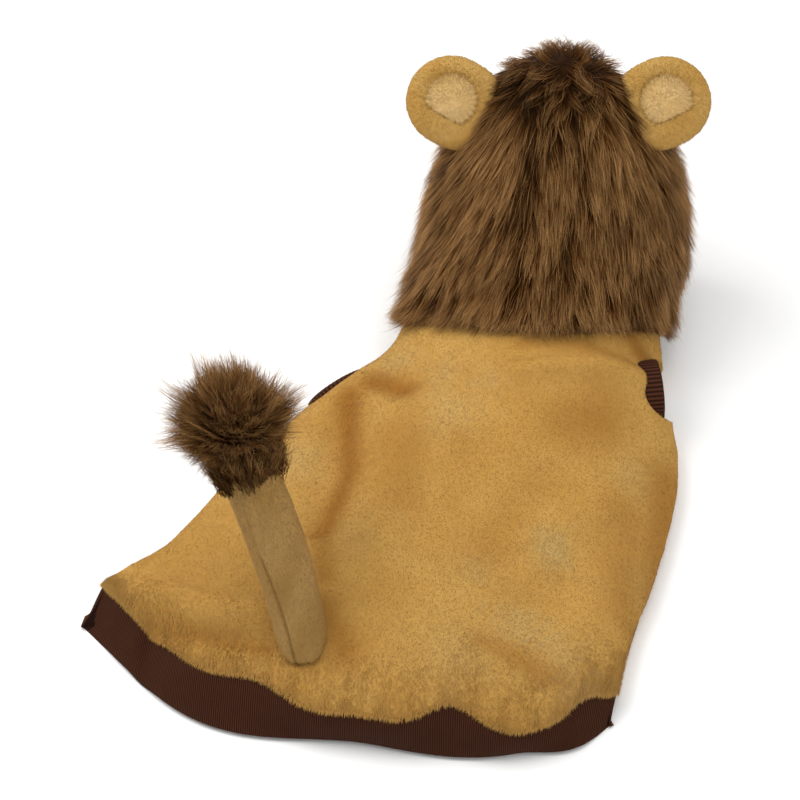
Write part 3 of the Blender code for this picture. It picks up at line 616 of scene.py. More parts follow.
vestMarks = {
    # dull spots of crushed nap, and soft painted highlights on the lit sides of the folds: x, y as shares of
    # the vest's width and length, radius, strength
    "crushed": (
        (0.017, 0.442, 0.011, 0.75),
        (0.030, 0.405, 0.009, 0.45),
        (-0.045, 0.234, 0.012, 0.65),
        (0.028, 0.179, 0.014, 0.5),
        (-0.127, 0.356, 0.010, 0.5),
        (-0.282, 0.993, 0.012, 0.6),
        (-0.169, 0.778, 0.017, 0.5),
        (-0.096, 0.868, 0.008, 0.5),
        (-0.183, 0.911, 0.013, 0.45),
        (-0.480, 0.700, 0.019, 0.6),
        (-0.355, 0.443, 0.016, 0.3),
        (0.183, 0.667, 0.014, 0.4),
        (0.214, 0.396, 0.018, 0.4),
        (0.059, 0.092, 0.020, 0.3),
        (-0.158, 0.156, 0.020, 0.4),
    ),
    # painted shade: deeper orange along the fold valleys and creases, where shade falls: both ends, radius,
    # strength
    "paintedFoldShade": (
        (-0.330, 0.960, -0.262, 0.881, 0.009, 0.9),
        (-0.375, 0.930, -0.370, 0.640, 0.009, 0.9),
        (-0.370, 0.640, -0.425, 0.470, 0.009, 0.85),
        (-0.425, 0.470, -0.418, 0.340, 0.007, 0.6),
        (-0.275, 0.700, -0.260, 0.560, 0.020, 0.35),
        (0.258, 0.700, 0.225, 0.380, 0.014, 0.65),
        (-0.150, 0.700, -0.180, 0.540, 0.012, 0.25),
        (-0.030, 0.965, 0.224, 0.975, 0.005, 0.45),
        (0.193, 1.040, 0.250, 1.000, 0.006, 0.8),
        (0.060, 0.764, 0.130, 0.800, 0.018, 0.5),
        (-0.003, 0.625, -0.127, 0.394, 0.016, 0.3),
        (-0.417, 0.268, -0.375, 0.146, 0.009, 0.6),
        (-0.740, 0.265, -0.520, 0.175, 0.006, 0.6),
        (0.170, 0.560, 0.160, 0.330, 0.016, 0.45),
        (-0.120, 0.180, 0.020, 0.110, 0.007, 0.5),
    ),
}


def vestNapMarks(points):
    # how crushed the nap is, with painted highlights, and how much painted shade lies along the folds, at
    # each point, from 0 to 1
    x, y = points[:, 0], points[:, 1]
    rough = 1 + 0.35 * np.sin(x * 310 + 9 * np.sin(y * 60)) * np.sin(y * 270 + 7 * np.sin(x * 50))
    crush = np.zeros(len(points))
    # pale crushed nap, and painted highlights beside the folds
    for placeX, placeY, radius, strength in vestMarks["crushed"]:
        far = farFromLine(x, y, placeX, placeY, placeX, placeY)
        crush += strength * np.exp(-((far * rough / radius) ** 2))
    # painted shade along the fold valleys
    foldShade = np.zeros(len(points))
    for *line, radius, strength in vestMarks["paintedFoldShade"]:
        far = farFromLine(x, y, *line) * (0.85 + 0.15 * rough)
        foldShade = np.maximum(foldShade, strength * np.exp(-((far / radius) ** 2)))
    return np.clip(crush, 0, 1) * 0.9, np.clip(foldShade, 0, 1)


cuffs = {
    "depth": 0.016,
    "wall": 0.0025,
    "ribs": 44,
    "ribDepth": 0.0004,
    # place round and along the vest, length, height, lift, how far it stands out
    "left": (0.0, 0.20, 0.0459, 0.0150, 0.0, -0.0024),
    "right": (0.5, 0.20, 0.0411, 0.0360, 0.0090, -0.0080),
}


def cuffFrame(side):
    # middle of the leg hole, the way out of it and the way along it
    around, place, length, height, lift, out = cuffs[side]
    before, here, after = vestPoints([place - 0.04, place, place + 0.04], [around] * 3)
    along = unit((after - before) * (1, 1, 0))
    away = np.array((along[1], -along[0], 0))
    middle = vestPoints([place], [0.25])[0] - here
    if away @ middle > 0:
        away = -away
    return here + (0, 0, lift), away, along


def cutLegHole(body, side):
    centre, away, along = cuffFrame(side)
    length, height = cuffs[side][2:4]
    bpy.ops.mesh.primitive_cylinder_add(vertices=64, radius=1, depth=1)
    cutter = bpy.context.active_object
    across = np.cross((0, 0, 1), away)
    columns = (across * (length / 2 + 0.3 * mm), (0, 0, height / 2 + 0.3 * mm), away * cuffs["depth"] * 3)
    rows = [(*[column[row] for column in columns], centre[row]) for row in range(3)]
    cutter.matrix_world = Matrix(rows).to_4x4()
    bpy.context.view_layer.update()
    applied(body, ("BOOLEAN", {"operation": "DIFFERENCE", "object": cutter, "solver": "MANIFOLD"}))
    bpy.data.objects.remove(cutter)


def makeVest():
    t, around, shape = gridOver(np.linspace(1, 0, vest["rows"]), np.arange(vest["around"]) / vest["around"])
    points = vestPoints(t, around)
    away, side, normal, *rest = surfaceFrames(vestPoints, np.clip(t, 0.004, 0.996), around)
    normal = -normal
    run = np.cumsum(np.linalg.norm(np.diff(points[: vest["around"]], axis=0), axis=1))
    run = np.tile(np.concatenate([[0], run]), shape[0])
    pucker = np.sin(2 * np.pi * run / vest["puckerPitch"]) * np.sin(run * 131) * smoothStep(0.86, 1, t)
    ripple = np.sin(points[:, 0] * 190 + 2 * np.sin(points[:, 1] * 90)) * np.sin(points[:, 1] * 120 + 1.3)
    flatBelly = (around > 0.5) & (points[:, 2] < 4 * mm)
    rise = np.where(flatBelly, 0, pucker * vest["puckerDepth"] + ripple * 0.35 * mm * smoothStep(0, 0.1, t))
    points = points + normal * rise[:, None]
    points[:, 2] = np.maximum(points[:, 2], 0)
    # crushed nap with painted highlights, and painted shade along the folds
    crush, fold = vestNapMarks(points)
    body = gridObject("vest", points.reshape(*shape, 3), vestPlush, crush=crush, fold=fold)
    thickened(body, vest["wall"], plushBack)
    for side in ("left", "right"):
        cutLegHole(body, side)
    return body


vestBody = makeVest()
finished(vestBody, "plush", "vest_body")


def vestOutside(centres, normals):
    # faces on the outside and not on the floor
    middle = np.array((neckX - 0.10, hemY + 0.12, 0.02))
    high = (centres[:, 2] > 25 * mm) & (normals[:, 2] > 0.1)
    out = (np.sum((centres - middle) * normals, axis=1) > 0) | high
    return (out & (normals[:, 2] > -0.25)).astype(float)


def napFlow(points):
    # the nap is brushed towards the hem and a little outward
    swirl = 0.5 * np.sin(points[:, 0] * 45 + 1.0) + 0.3 * np.sin(points[:, 1] * 60)
    return np.stack([swirl * 0.6 - 0.15, -np.ones(len(points)), np.zeros(len(points))], axis=-1)


vestNap = pileOn("vest_pile", vestBody, vest, napFlow, vestNapMarks, vestPile, 3, vestOutside)
finished(vestNap, "plush")


def makeFringe():
    # longer, combed pile along the hem, which hangs over the start of the band
    draw = np.random.default_rng(8)
    count = vest["fringeCount"]
    around = draw.uniform(-0.01, 0.51, count)
    t = 1 - 0.20 * draw.random(count) ** 1.9
    root = vestPoints(t, around % 1.0)
    onward, side, normal, *rest = surfaceFrames(vestPoints, np.clip(t, 0, 0.99), around)
    normal = -normal
    grown = 0.12 + 0.88 * smoothStep(0.80, 0.97, t)
    length = (vest["fringeLength"] * draw.uniform(0.65, 1.05, count) * grown)[:, None]
    way = unit(onward + side * draw.normal(0, 0.28, (count, 1)))
    middle = root + way * length * 0.5 + normal * length * draw.uniform(0.2, 0.4, (count, 1))
    end = root + way * length + normal * length * draw.uniform(0.05, 0.4, (count, 1))
    paths = np.stack([root - normal * 0.3 * mm, middle, end], axis=1)
    tones = np.clip(draw.normal(0.62, 0.15, count), 0, 1)
    # the fringe takes the vest's marks, with its painted shade weaker
    crush, fold = vestNapMarks(root)
    widths = np.full(count, vest["fringeWidth"])
    return strands("hem_fringe", paths, side, widths, tones, vestPile, (crush, fold * 0.6))


hemFringe = finished(makeFringe(), "plush")
print("stage 4: vest")


# The rib-knit band on the hem

band = {
    "width": 0.027,
    "leftFlare": 0.028,
    "rightFlare": 0.018,
    "wall": 0.003,
    "gap": 0.0005,
    "ribPitch": 0.00125,
    "ribDepth": 0.0004,
    "columnsPerRib": 4,
    "rows": 7,
}


def bandPoints(share, around):
    one = np.ones_like(share)
    seam = vestPoints(one, around)
    leaving = unit(seam - vestPoints(one * 0.95, around))
    u = -np.cos(2 * np.pi * around)
    upper = around % 1.0 <= 0.5
    middle = np.where(upper, band["wall"] * 1.3, band["width"])
    flare = middle + (band["leftFlare"] - middle) * smoothStep(-0.10, 0.75, -u)
    flare = flare + (band["rightFlare"] - middle) * smoothStep(0.60, 0.92, u)
    plain = vestPoints(one, around, waves=False)
    away = plain - vestPoints(one * 0.95, around, waves=False)
    away[:, 2] = 0
    free = plain + unit(away) * flare[:, None]
    free[:, 2] = np.where(upper, band["wall"] * smoothStep(0, 0.15, 1 - np.abs(u)), 0)
    gap = band["gap"] * (1 + np.where(u > 0, 5, 2) * smoothStep(0.88, 1, np.abs(u)))
    start = seam + leaving * gap[:, None]
    turn = start + leaving * (band["width"] * 0.28)
    share = share[:, None]
    return start * (1 - share) ** 2 + turn * (2 * share * (1 - share)) + free * share**2


def makeBand():
    fine = np.arange(4000) / 4000
    edge = bandPoints(np.full(4000, 0.6), fine)
    run = np.concatenate([[0], np.cumsum(np.linalg.norm(np.diff(edge, axis=0), axis=1))])
    ribs = round(run[-1] / band["ribPitch"])
    columns = ribs * band["columnsPerRib"]
    places = np.interp(np.arange(columns) / columns * run[-1], run, fine)
    share, around, shape = gridOver(np.linspace(1, 0, band["rows"]), places)
    points = bandPoints(share, around)
    away, side, normal, *rest = surfaceFrames(bandPoints, np.clip(share, 0.01, 0.99), around)
    wave = 0.5 + 0.5 * np.cos(2 * np.pi * np.tile(np.arange(columns), shape[0]) / band["columnsPerRib"])
    points = points - normal * ((wave - 1) * band["ribDepth"])[:, None]
    points[:, 2] = np.maximum(points[:, 2], 0)
    sheet = gridObject("hem_rib_band", points.reshape(*shape, 3), ribKnit, rib=wave)
    piece = thickened(sheet, band["wall"] * 0.8)
    moveTo(piece, np.maximum(coordinates(piece), (-np.inf, -np.inf, 0)))
    return piece


hemBand = makeBand()
finished(hemBand, "rib_knit", "hem_band")
print("stage 5: hem band,", len(hemBand.data.polygons), "faces")


# The leg trims: short rib-knit rings in the two leg holes

def makeCuff(side):
    centre, away, along = cuffFrame(side)
    around, place, length, height, lift, out = cuffs[side]
    columns = cuffs["ribs"] * 4
    turn = 1 if np.cross(away, along)[2] > 0 else -1
    angle = 2 * np.pi * np.arange(columns) / columns * turn
    wave = 0.5 + 0.5 * np.cos(2 * np.pi * np.arange(columns) / 4)
    inset = (1 - wave) * cuffs["ribDepth"]
    sideways = along * ((length / 2 - inset) * np.cos(angle))[:, None]
    ring = centre + sideways + np.array((0, 0, 1)) * ((height / 2 - inset) * np.sin(angle))[:, None]
    depths = out - cuffs["depth"] + cuffs["depth"] * np.linspace(0, 1, 6)
    rings = ring[None] + away * depths[:, None, None]
    return thickened(gridObject(side + "_leg_trim", rings, ribKnit, rib=np.tile(wave, 6)), cuffs["wall"])


for side in ("left", "right"):
    finished(makeCuff(side), "rib_knit", side + "_cuff")
print("stage 6: leg trims")


# The hood: its backing with a dark undercoat, then the locks of long fur

def furCover(around, points):
    # 1 where long fur grows, falling to 0 under the throat
    return np.where(around % 1.0 <= 0.5, 1.0, smoothStep(0.10, 0.24, points[:, 2] / hood["height"]))


def makeHood():
    places = np.arange(hood["around"]) / hood["around"]
    s, around, shape = gridOver(np.linspace(0.02, 1, hood["rows"]), places)
    points = hoodPoints(s, around)
    forward, side, normal, *rest = surfaceFrames(hoodPoints, s, around)
    cover = furCover(around, points)
    bumps = 0.7 + 0.3 * np.sin(around * 190 + 3 * np.sin(s * 40)) * np.sin(s * 75 + 4 * around)
    points = points + normal * (cover * bumps * hood["undercoat"] * smoothStep(0, 0.05, s))[:, None]
    points[:, 2] = np.maximum(points[:, 2], 0)
    tone = 0.35 + 0.2 * np.sin(around * 300) * np.sin(s * 90)
    rings = points.reshape(*shape, 3)
    piece = gridObject("hood_backing", rings, maneUnder, tone=tone, reach=0.4 + 0.2 * bumps)
    return thickened(piece, hood["wall"] + hood["undercoat"] * 0.6, furBack)


hoodBacking = makeHood()
finished(hoodBacking, "fur", "hood")

mane = {
    "whorl": (0.735, 0.25),
    "spread": 0.5,
    "lockSpacing": 0.0058,
    "lockLength": 0.034,
    "lockRadius": 0.0056,
    "hairsPerLock": 40,
    "hairWidth": 0.00046,
    "steps": 4,
    "clump": 0.45,
    "loose": 0.10,
    "frizz": 0.0005,
    "lift": 0.0068,
    "hang": (-0.003, 0.002),
    "earTilts": {"left": 151, "right": 25},
    # partings, where the hair leans apart and its tone is darkened as painted shade: place round the hood,
    # from and to along it, half width, strength
    "partings": (
        (0.218, 0.12, 0.68, 0.0120, 0.80),
        (0.272, 0.22, 0.66, 0.0070, 0.75),
        (0.105, 0.02, 0.22, 0.0120, 0.65),
        (0.385, 0.02, 0.26, 0.0150, 0.45),
        (0.395, 0.34, 0.50, 0.0110, 0.40),
    ),
}


def lockRoots(low, high, fromAround, toAround, spacing, draw):
    # roots of locks on an even, jittered grid over a stretch of the hood
    probe = np.linspace(low, high, 60)
    length = np.linalg.norm(np.diff(hoodPoints(probe, np.full(60, 0.25)), axis=0), axis=1).sum()
    rows = max(2, int(length / spacing))
    roots = []
    for i in range(rows):
        s = low + (high - low) * (i + 0.5) / rows
        places = np.linspace(fromAround, toAround, 200)
        run = np.linalg.norm(np.diff(hoodPoints(np.full(200, s), places), axis=0), axis=1)
        run = np.concatenate([[0], np.cumsum(run)])
        columns = max(2, int(run[-1] / spacing))
        offsets = (np.arange(columns) + 0.5 * (i % 2) + draw.uniform(-0.3, 0.3, columns)) * spacing
        at = np.interp(offsets, run, places)
        jitter = draw.uniform(-0.4, 0.4, columns) * (high - low) / rows
        roots.append(np.stack([np.full(columns, s) + jitter, at], axis=-1))
    return np.concatenate(roots)


def lockPaths(roots, lengths, turn, steps):
    # walks each lock over the hood from its root, away from the whorl, and on past the face edge
    s, around = roots[:, 0].copy(), roots[:, 1].copy()
    points, normals, sides = [], [], []
    stride = lengths / (steps - 1)
    for k in range(steps):
        on = np.clip(s, -0.03, 0.985)
        forward, sideways, normal, perS, perAround = surfaceFrames(hoodPoints, on, around)
        perS, perAround = np.maximum(perS, 0.08), np.maximum(perAround, 0.12)
        points.append(hoodPoints(on, around) + forward * ((s - on) * perS)[:, None])
        normals.append(normal)
        ahead = (s - mane["whorl"][0]) * perS
        across = (around - mane["whorl"][1]) * perAround * mane["spread"]
        size = np.maximum(np.hypot(ahead, across), 1e-6)
        ahead, across = ahead / size, across / size
        angle = turn * (0.4 + 1.2 * k / steps)
        cos, sin = np.cos(angle), np.sin(angle)
        ahead, across = ahead * cos - across * sin, ahead * sin + across * cos
        flow = unit(forward * ahead[:, None] + sideways * across[:, None])
        sides.append(unit(np.cross(flow, normal)))
        s = s + ahead * stride / perS
        around = around + across * stride / perAround
    return np.stack(points, 1), np.stack(normals, 1), np.stack(sides, 1)


def partingAt(s, around):
    # how deep in a parting each place lies, from 0 to 1
    total = np.zeros(len(s))
    for place, low, high, width, strength in mane["partings"]:
        sway = 0.006 * np.sin(s * 22 + place * 40)
        inside = smoothStep(low - 0.08, low + 0.04, s) * (1 - smoothStep(high - 0.04, high + 0.08, s))
        total += strength * inside * np.exp(-(((around - place - sway) / width) ** 2))
    return np.clip(total, 0, 1)


def hairsFromLocks(name, points, normals, sides, tones, lifts, material, seed, looks):
    # many hairs round each lock's line, drawn together towards its end; a few come loose from it
    locks, steps = points.shape[:2]
    draw = np.random.default_rng(seed)
    lock = np.repeat(np.arange(locks), looks["hairsPerLock"])
    count = len(lock)
    share = np.linspace(0, 1, steps)
    angle = draw.uniform(0, 2 * np.pi, count)
    far = looks["lockRadius"] * np.sqrt(draw.random(count))
    acrossBy = far * np.cos(angle)
    alongBy = far * np.sin(angle)
    stray = (draw.random(count) < looks["loose"])[:, None]
    gather = np.where(stray, 1 + 0.9 * share, 1 - looks["clump"] * share**1.3)
    flow = unit(points[:, 1:] - points[:, :-1])
    flow = np.concatenate([flow, flow[:, -1:]], axis=1)[lock]
    length = draw.uniform(0.72, 1.05, count)
    at = np.clip(share[None, :] * length[:, None], 0, 1) * (steps - 1)
    index = np.minimum(at.astype(int), steps - 2)
    f = (at - index)[..., None]
    rows = np.arange(count)[:, None]
    base = points[lock]
    path = base[rows, index] * (1 - f) + base[rows, index + 1] * f
    up = normals[lock][rows, index]
    side = sides[lock][rows, index]
    path = path + side * (acrossBy[:, None] * gather)[..., None]
    path = path + flow * (alongBy[:, None] * gather * 0.8)[..., None]
    wave = draw.normal(0, looks["frizz"], count)[:, None] * np.sin(share * 7 + draw.uniform(0, 6, (count, 1)))
    path = path + side * wave[..., None]
    rise = 0.6 * mm + lifts[lock][:, None] * share**1.15 + draw.uniform(0, 1.6 * mm, (count, 1)) * share
    rise = rise + stray * draw.uniform(1 * mm, 5 * mm, (count, 1)) * share**1.5
    path = path + up * rise[..., None]
    path[..., 2] = np.maximum(path[..., 2], 0.3 * mm)
    roll = draw.uniform(-0.9, 0.9, (count, 1))
    ribbon = unit(side[:, 0] * np.cos(roll) + up[:, 0] * np.sin(roll))
    shade = np.clip(tones[lock] + draw.normal(0, 0.26, count) + 0.2 * stray[:, 0], 0, 1)
    return strands(name, path, ribbon, looks["hairWidth"] * draw.uniform(0.8, 1.25, count), shade, material)


def nearEars(points):
    # from 0 to 1, how close each place is to the foot of an ear, where the fur covers the join
    near = np.zeros(len(points))
    for side, tilt in mane["earTilts"].items():
        low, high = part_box("ear_" + side)
        turn = math.radians(tilt)
        tip = np.array((math.cos(turn), 0.766 * math.sin(turn), 0.643 * math.sin(turn)))
        foot = np.array((low + high) / 2) - tip * 20 * mm
        near = np.maximum(near, np.exp(-((np.linalg.norm(points - foot, axis=1) / (17 * mm)) ** 2)))
    return near


def makeMane(name, fromAround, toAround, seed):
    draw = np.random.default_rng(seed)
    roots = lockRoots(0.03, 0.985, fromAround, toAround, mane["lockSpacing"], draw)
    at = hoodPoints(roots[:, 0], roots[:, 1])
    roots = roots[furCover(roots[:, 1], at) > 0.55]
    count = len(roots)
    s, around = roots.T
    away = np.hypot((s - mane["whorl"][0]) * 0.21, (around - mane["whorl"][1]) * 0.45)
    near = smoothStep(0.008, 0.045, away)
    lengths = mane["lockLength"] * (0.55 + 0.45 * near) * draw.uniform(0.8, 1.15, count)
    lengths = lengths * (1 - 0.5 * smoothStep(0.80, 0.98, s))
    *_, perS, perAround = surfaceFrames(hoodPoints, np.clip(s, 0.01, 0.98), around)
    toSeam = np.maximum(s * np.maximum(perS, 0.05) * 1.05 + draw.uniform(*mane["hang"], count), 4 * mm)
    lengths = np.where(s < mane["whorl"][0], np.minimum(lengths, toSeam), lengths)
    parted = partingAt(s, around)
    lean = np.zeros(count)
    for place, low, high, width, strength in mane["partings"]:
        offset = (around - place) / (2.2 * width)
        lean += 0.22 * strength * offset * np.exp(-offset**2) * (s > low) * (s < high)
    drift = 0.10 * np.sin(around * 34 + 5 * s) + draw.normal(0, 0.12, count) - lean
    drift = drift + draw.normal(0, 0.9, count) * (1 - near)
    points, normals, sides = lockPaths(roots, lengths, drift, mane["steps"])
    tones = 0.56 + 0.14 * np.sin(around * 55 + 3 * np.sin(s * 9)) + draw.normal(0, 0.11, count)
    crownRight = np.exp(-(((around - 0.31) / 0.07) ** 2)) * smoothStep(0.66, 0.78, s)
    # hair in the partings is painted darker, as painted shade in the parting
    tones = tones - 0.5 * parted - 0.40 * (1 - near) + 0.45 * crownRight
    lifts = mane["lift"] * draw.uniform(0.4, 1.3, count) * (1 - 0.75 * parted)
    outer = smoothStep(0.55, 0.95, np.abs(np.cos(2 * np.pi * around)))
    lifts = lifts + outer * 6 * mm * draw.random(count) ** 1.5 + (1 - near) * 4 * mm
    lifts = lifts + nearEars(hoodPoints(s, around)) * draw.uniform(3 * mm, 9 * mm, count)
    lifts = lifts * (1 - 0.6 * smoothStep(0.85, 0.98, s))
    return hairsFromLocks(name, points, normals, sides, tones, lifts, maneFur, seed + 1, mane)


for index, (name, fromAround, toAround) in enumerate((
    ("mane_left", -0.10, 0.155),
    ("mane_middle", 0.155, 0.345),
    ("mane_right", 0.345, 0.60),
)):
    finished(makeMane(name, fromAround, toAround, 20 + 5 * index), "fur")


# The stuffed ears, tail and their pile

stuffing = {
    "merge": 0.00005,
    "pressure": 4.0,
    "frames": 20,
    "quality": 5,
}


def paddedFrom(nodeName, name, material, looks):
    # a copy of the CAD solid, remeshed and blown up a little as stuffing does
    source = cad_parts[nodeName]
    piece = source.copy()
    piece.data = source.data.copy()
    piece.name = name
    piece.parent = None
    for key in list(piece.keys()):
        del piece[key]
    bpy.context.scene.collection.objects.link(piece)
    piece.hide_render = False
    piece.data.materials.clear()
    piece.data.materials.append(material)
    weld = ("WELD", {"merge_threshold": stuffing["merge"]})
    applied(piece, weld, ("REMESH", {"mode": "VOXEL", "voxel_size": looks["voxel"]}))
    rest = coordinates(piece)
    cloth = piece.modifiers.new("cloth", "CLOTH")
    cloth.settings.quality = stuffing["quality"]
    cloth.settings.use_pressure = True
    cloth.settings.uniform_pressure_force = stuffing["pressure"]
    cloth.settings.effector_weights.gravity = 0
    cloth.point_cache.frame_start = 1
    cloth.point_cache.frame_end = stuffing["frames"]
    for number in range(1, stuffing["frames"] + 1):
        bpy.context.scene.frame_set(number)
    bpy.context.view_layer.objects.active = piece
    bpy.ops.object.modifier_apply(modifier=cloth.name)
    shift = coordinates(piece) - rest
    size = np.linalg.norm(shift, axis=1, keepdims=True)
    moveTo(piece, rest + shift * np.minimum(1, looks["swell"] / np.maximum(size, 1e-9)))
    smooth = ("SMOOTH", {"factor": 0.5, "iterations": 3})
    applied(piece, smooth, ("SUBSURF", {"levels": 1, "render_levels": 1}))
    piece.data.shade_smooth()
    return piece


def press(obj, marks, depth):
    # pushes the marked lines of a padded piece in, as a seam does, and keeps the marks for its material: pale
    # mottle, and dark seams with painted shade
    points = coordinates(obj)
    crush, fold = marks(points)
    moveTo(obj, points - coordinates(obj, "normal") * (fold * depth)[:, None])
    giveValues(obj, crush=crush, fold=fold * 0.8)


def dressed(piece, pileName, pile, slotName, nodeName, looks, flow, marks, seed):
    # a padded piece in its place, with its pile
    finished(piece, slotName, nodeName)
    finished(pileOn(pileName, piece, looks, flow, marks, pile, seed), slotName)


def outOf(centre):
    centre = np.array(centre)

    def flow(points):
        return unit(points - centre)
    return flow


ears = {
    "voxel": 1.6 * mm,
    "swell": 1.0 * mm,
    "filling": 0.7,
    "pileCount": 15000,
    "pileLength": 1.3 * mm,
    "pileWidth": 0.4 * mm,
    "pileLift": 0.4,
    "seamWidth": 1.1 * mm,
    "seamDepth": 0.9 * mm,
    "valleyWidth": 3.5 * mm,
    "dishRadius": 14 * mm,
    "dishDepth": 0.9 * mm,
}
patches = {
    **ears,
    "voxel": 1.0 * mm,
    "swell": 0.3 * mm,
    "pileCount": 6000,
    "seamDepth": 0.3 * mm,
    "domeWidth": 7 * mm,
    "rimHeight": 0.42,
}


def patchSeam(side):
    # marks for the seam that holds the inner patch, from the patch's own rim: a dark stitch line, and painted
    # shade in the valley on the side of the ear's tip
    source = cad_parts["ear_" + side + "_inner"]
    place = source.matrix_world
    rim = np.array([place @ vertex.co for vertex in source.data.vertices])
    centre = rim.mean(0)
    rim = rim[np.linalg.norm(rim - centre, axis=1) > 0.55 * np.linalg.norm(rim - centre, axis=1).max()]

    def fromRim(points):
        near = np.full(len(points), 1.0)
        for first in range(0, len(points), 4000):
            block = points[first:first + 4000]
            near[first:first + 4000] = np.linalg.norm(block[:, None] - rim[None], axis=2).min(axis=1)
        return near

    def marks(points):
        front = ((points - centre) @ towardsView) > -4 * mm
        mottle = 0.5 + 0.5 * np.sin(points[:, 0] * 160 + 3 * np.sin(points[:, 2] * 120))
        near = fromRim(points)
        tipward = smoothStep(-6 * mm, 10 * mm, points[:, 2] - centre[2])
        stitch = 0.7 * np.exp(-((near / ears["seamWidth"]) ** 2))
        # painted shade in the valley between the ear's rolled rim and the patch, towards the ear's tip
        valleyShade = 0.5 * tipward * np.exp(-((near / ears["valleyWidth"]) ** 2))
        return mottle * 0.35, np.maximum(stitch, valleyShade) * front
    return marks, fromRim, centre


def dishDown(obj, centre):
    # room in the ear's front for the patch
    points = coordinates(obj)
    offset = points - centre
    above = offset @ towardsView
    across = np.linalg.norm(offset - np.outer(above, towardsView), axis=1)
    depth = ears["dishDepth"] * (1 - smoothStep(0.8, 1.1, across / ears["dishRadius"])) * (above > -4 * mm)
    moveTo(obj, points - np.outer(depth, towardsView))


def domeDown(obj, fromRim):
    # the stitching holds the patch's rim down in the ear's dish, so only its middle stands up
    points = coordinates(obj)
    height = points @ towardsView
    height = height - height.min()
    share = patches["rimHeight"]
    share = share + (1 - share) * smoothStep(0, patches["domeWidth"], fromRim(points))
    moveTo(obj, points - towardsView * (height * (1 - share))[:, None])


for side in ("left", "right"):
    low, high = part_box("ear_" + side)
    flow = outOf((low + high) / 2)
    marks, fromRim, patchMiddle = patchSeam(side)
    node = "ear_" + side
    ear = paddedFrom(node, side + "_ear", earPlush, ears)
    press(ear, marks, ears["seamDepth"])
    dishDown(ear, patchMiddle)
    dressed(ear, side + "_ear_pile", earPile, "ear_plush", node, ears, flow, marks, 40)
    node = "ear_" + side + "_inner"
    inner = paddedFrom(node, side + "_inner_ear", patchPlush, patches)
    domeDown(inner, fromRim)
    press(inner, marks, patches["seamDepth"])
    dressed(inner, side + "_inner_ear_pile", patchPile, "ear_plush", node, patches, flow, marks, 41)
    print("stage 8:", side, "ear")

tail = {
    "place": (0.85, 0.209),
    "lean": (-0.29, 0.545, 0.787),
    "length": 0.102,
    "voxel": 2.2 * mm,
    "swell": 1.2 * mm,
    "filling": 0.8,
    "pileCount": 22000,
    "pileLength": 1.3 * mm,
    "pileWidth": 0.4 * mm,
    "pileLift": 0.4,
    "seamWidth": 1.0 * mm,
    "seamDepth": 1.0 * mm,
    "seamSide": -0.42,
}
tailFoot = vestPoints(np.array([tail["place"][0]]), np.array([tail["place"][1]]))[0]
tailLean = unit(np.array(tail["lean"]))
tailTop = tailFoot + tailLean * tail["length"]
vestUp = -surfaceFrames(vestPoints, np.array([tail["place"][0]]), np.array([tail["place"][1]]))[2][0]


def tailFlow(points):
    return np.tile(-tailLean, (len(points), 1))


def tailMarks(points):
    # the long seam down the tail's front, and a ring of painted contact shadow where it is sewn to the back
    front = unit(towardsView - tailLean * (towardsView @ tailLean))
    across = np.cross(front, tailLean)
    across = across * np.sign(across[0])
    seam = unit(front + across * tail["seamSide"] * 1.3)
    offset = points - tailFoot
    beside = offset @ np.cross(tailLean, seam)
    sway = 0.8 * mm * np.sin(offset @ tailLean * 70)
    share = offset @ tailLean / tail["length"]
    line = 0.75 * np.exp(-(((beside - sway) / tail["seamWidth"]) ** 2)) * (offset @ seam > 0)
    line = line * (1 - 0.8 * smoothStep(0.4, 0.65, share))
    # painted contact shadow round the tail's foot, close to the back
    ring = 0.5 * (1 - smoothStep(0.5 * mm, 3 * mm, offset @ vestUp))
    mottle = 0.5 + 0.5 * np.sin(points[:, 2] * 130 + 2 * np.sin(points[:, 0] * 150))
    return mottle * 0.4, np.maximum(line, ring)


tailBody = paddedFrom("tail", "stuffed_tail", tailPlush, tail)
press(tailBody, tailMarks, tail["seamDepth"])
dressed(tailBody, "tail_pile", tailPile, "tail_plush", "tail", tail, tailFlow, tailMarks, 50)
print("stage 9: tail")


# The tuft: a core with locks of fur standing out all round, swept back towards the tip

tuft = {
    "radius": 0.036,
    "core": 0.020,
    "locks": 560,
    "hairsPerLock": 32,
    "hairWidth": 0.00036,
    "sweep": 0.75,
    "clump": 0.1,
    "loose": 0.14,
    "frizz": 0.0013,
    "lockRadius": 0.0062,
    # the fur wrapped round the tail's end
    "sleeveLocks": 190,
    "sleeveRadius": 0.0158,
    "sleeveRise": (-0.007, 0.013),
    "sleeveLength": (0.010, 0.018),
    "steps": 4,
    # where longer wisps stand out: direction and how much longer
    "wisps": (
        ((-0.98, 0.10, -0.10), 0.40),
        ((-0.15, 0.76, 0.64), 0.20),
        ((0.97, 0.10, 0.15), 0.55),
        ((-0.70, 0.62, 0.35), 0.10),
    ),
}


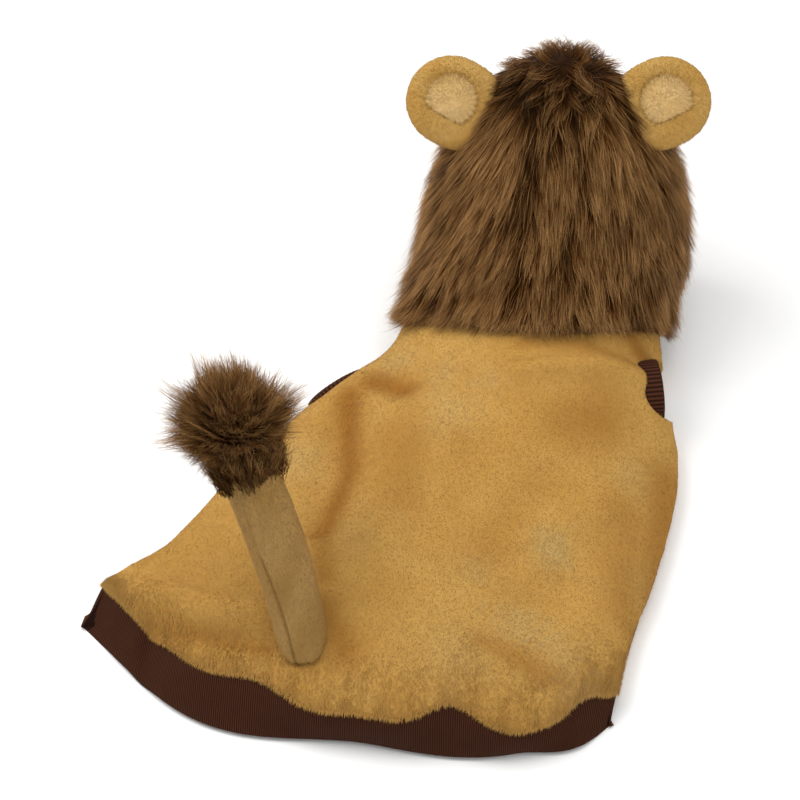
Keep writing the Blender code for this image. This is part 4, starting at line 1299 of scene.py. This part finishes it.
def makeTuft():
    draw = np.random.default_rng(71)
    centre = tailTop + tailLean * (tuft["radius"] * 0.72)
    bpy.ops.mesh.primitive_ico_sphere_add(subdivisions=4, radius=tuft["core"] * 1.15, location=centre)
    core = bpy.context.active_object
    core.name = "tuft_core"
    bpy.ops.object.transform_apply(location=True)
    core.data.materials.append(maneUnder)
    core.data.shade_smooth()
    giveValues(core, tone=np.full(len(core.data.vertices), 0.35), reach=np.full(len(core.data.vertices), 0.4))
    count = tuft["locks"]
    golden = math.pi * (3 - math.sqrt(5))
    height = 1 - 2 * (np.arange(count) + 0.5) / count
    ring = np.sqrt(1 - height**2)
    angle = golden * np.arange(count)
    out = np.stack([ring * np.cos(angle), ring * np.sin(angle), height], axis=-1)
    out = out[np.sum(out * tailLean, axis=1) > -0.88]
    count = len(out)
    steps = tuft["steps"]
    length = (tuft["radius"] - tuft["core"]) * draw.uniform(0.75, 1.35, count)
    for way, more in tuft["wisps"]:
        length = length * (1 + more * smoothStep(0.80, 0.97, out @ unit(np.array(way))))
    # by the tail the fur lies close and points up to the tip, as it is wrapped round the end
    low = 1 - smoothStep(-0.85, 0.0, out @ tailLean)
    length = length * (1 - 0.3 * low)
    back = unit(np.cross(np.cross(out, tailLean), out) + 1e-6)
    sweep = back * draw.uniform(0, 1.1, (count, 1)) * tuft["sweep"]
    sweep = sweep * (1 + 1.3 * low[:, None]) + draw.normal(0, 0.25, (count, 3))
    share = np.linspace(0, 1, steps)[None, :, None]
    start = centre + out * (tuft["core"] * (0.9 - 0.15 * low))[:, None]
    points = start[:, None] + (out[:, None] * share + sweep[:, None] * share**2 * 0.6) * length[:, None, None]
    wraps = tuft["sleeveLocks"]
    turn = draw.uniform(0, 2 * np.pi, wraps)[:, None]
    first = unit(np.cross(tailLean, (0, 0, 1)))
    beside = first * np.cos(turn) + np.cross(tailLean, first) * np.sin(turn)
    foot = tailTop + tailLean * draw.uniform(*tuft["sleeveRise"], (wraps, 1)) + beside * tuft["sleeveRadius"]
    way = unit(tailLean + beside * draw.uniform(0.2, 0.75, (wraps, 1)) + draw.normal(0, 0.15, (wraps, 3)))
    wrapped = foot[:, None] + way[:, None] * share * draw.uniform(*tuft["sleeveLength"], (wraps, 1, 1))
    points = np.concatenate([points, wrapped])
    out = np.concatenate([out, way])
    count = len(out)
    sides = np.repeat(unit(np.cross(out, np.array((0.2, 0.1, 1.0))))[:, None], steps, 1)
    normals = np.repeat(unit(np.cross(sides[:, 0], out))[:, None], steps, 1)
    # locks that point up are painted lighter, as painted light from above
    tones = 0.55 + draw.normal(0, 0.18, count) + 0.15 * out[:, 2]
    tones[-wraps:] -= 0.2
    return core, hairsFromLocks("tuft_fur", points, normals, sides, tones, np.zeros(count), tuftFur, 73, tuft)


tuftCore, tuftHairs = makeTuft()
finished(tuftCore, "fur", "tail_tuft")
finished(tuftHairs, "fur")
print("stage 10: tuft,", len(tuftHairs.data.polygons), "faces")

low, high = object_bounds()
boxes = [[round(v, 3) for v in (*a, *b)] for a, b in ((cadLow, cadHigh), (low, high))]
print("stage 11: CAD box", boxes[0], "visual", boxes[1])
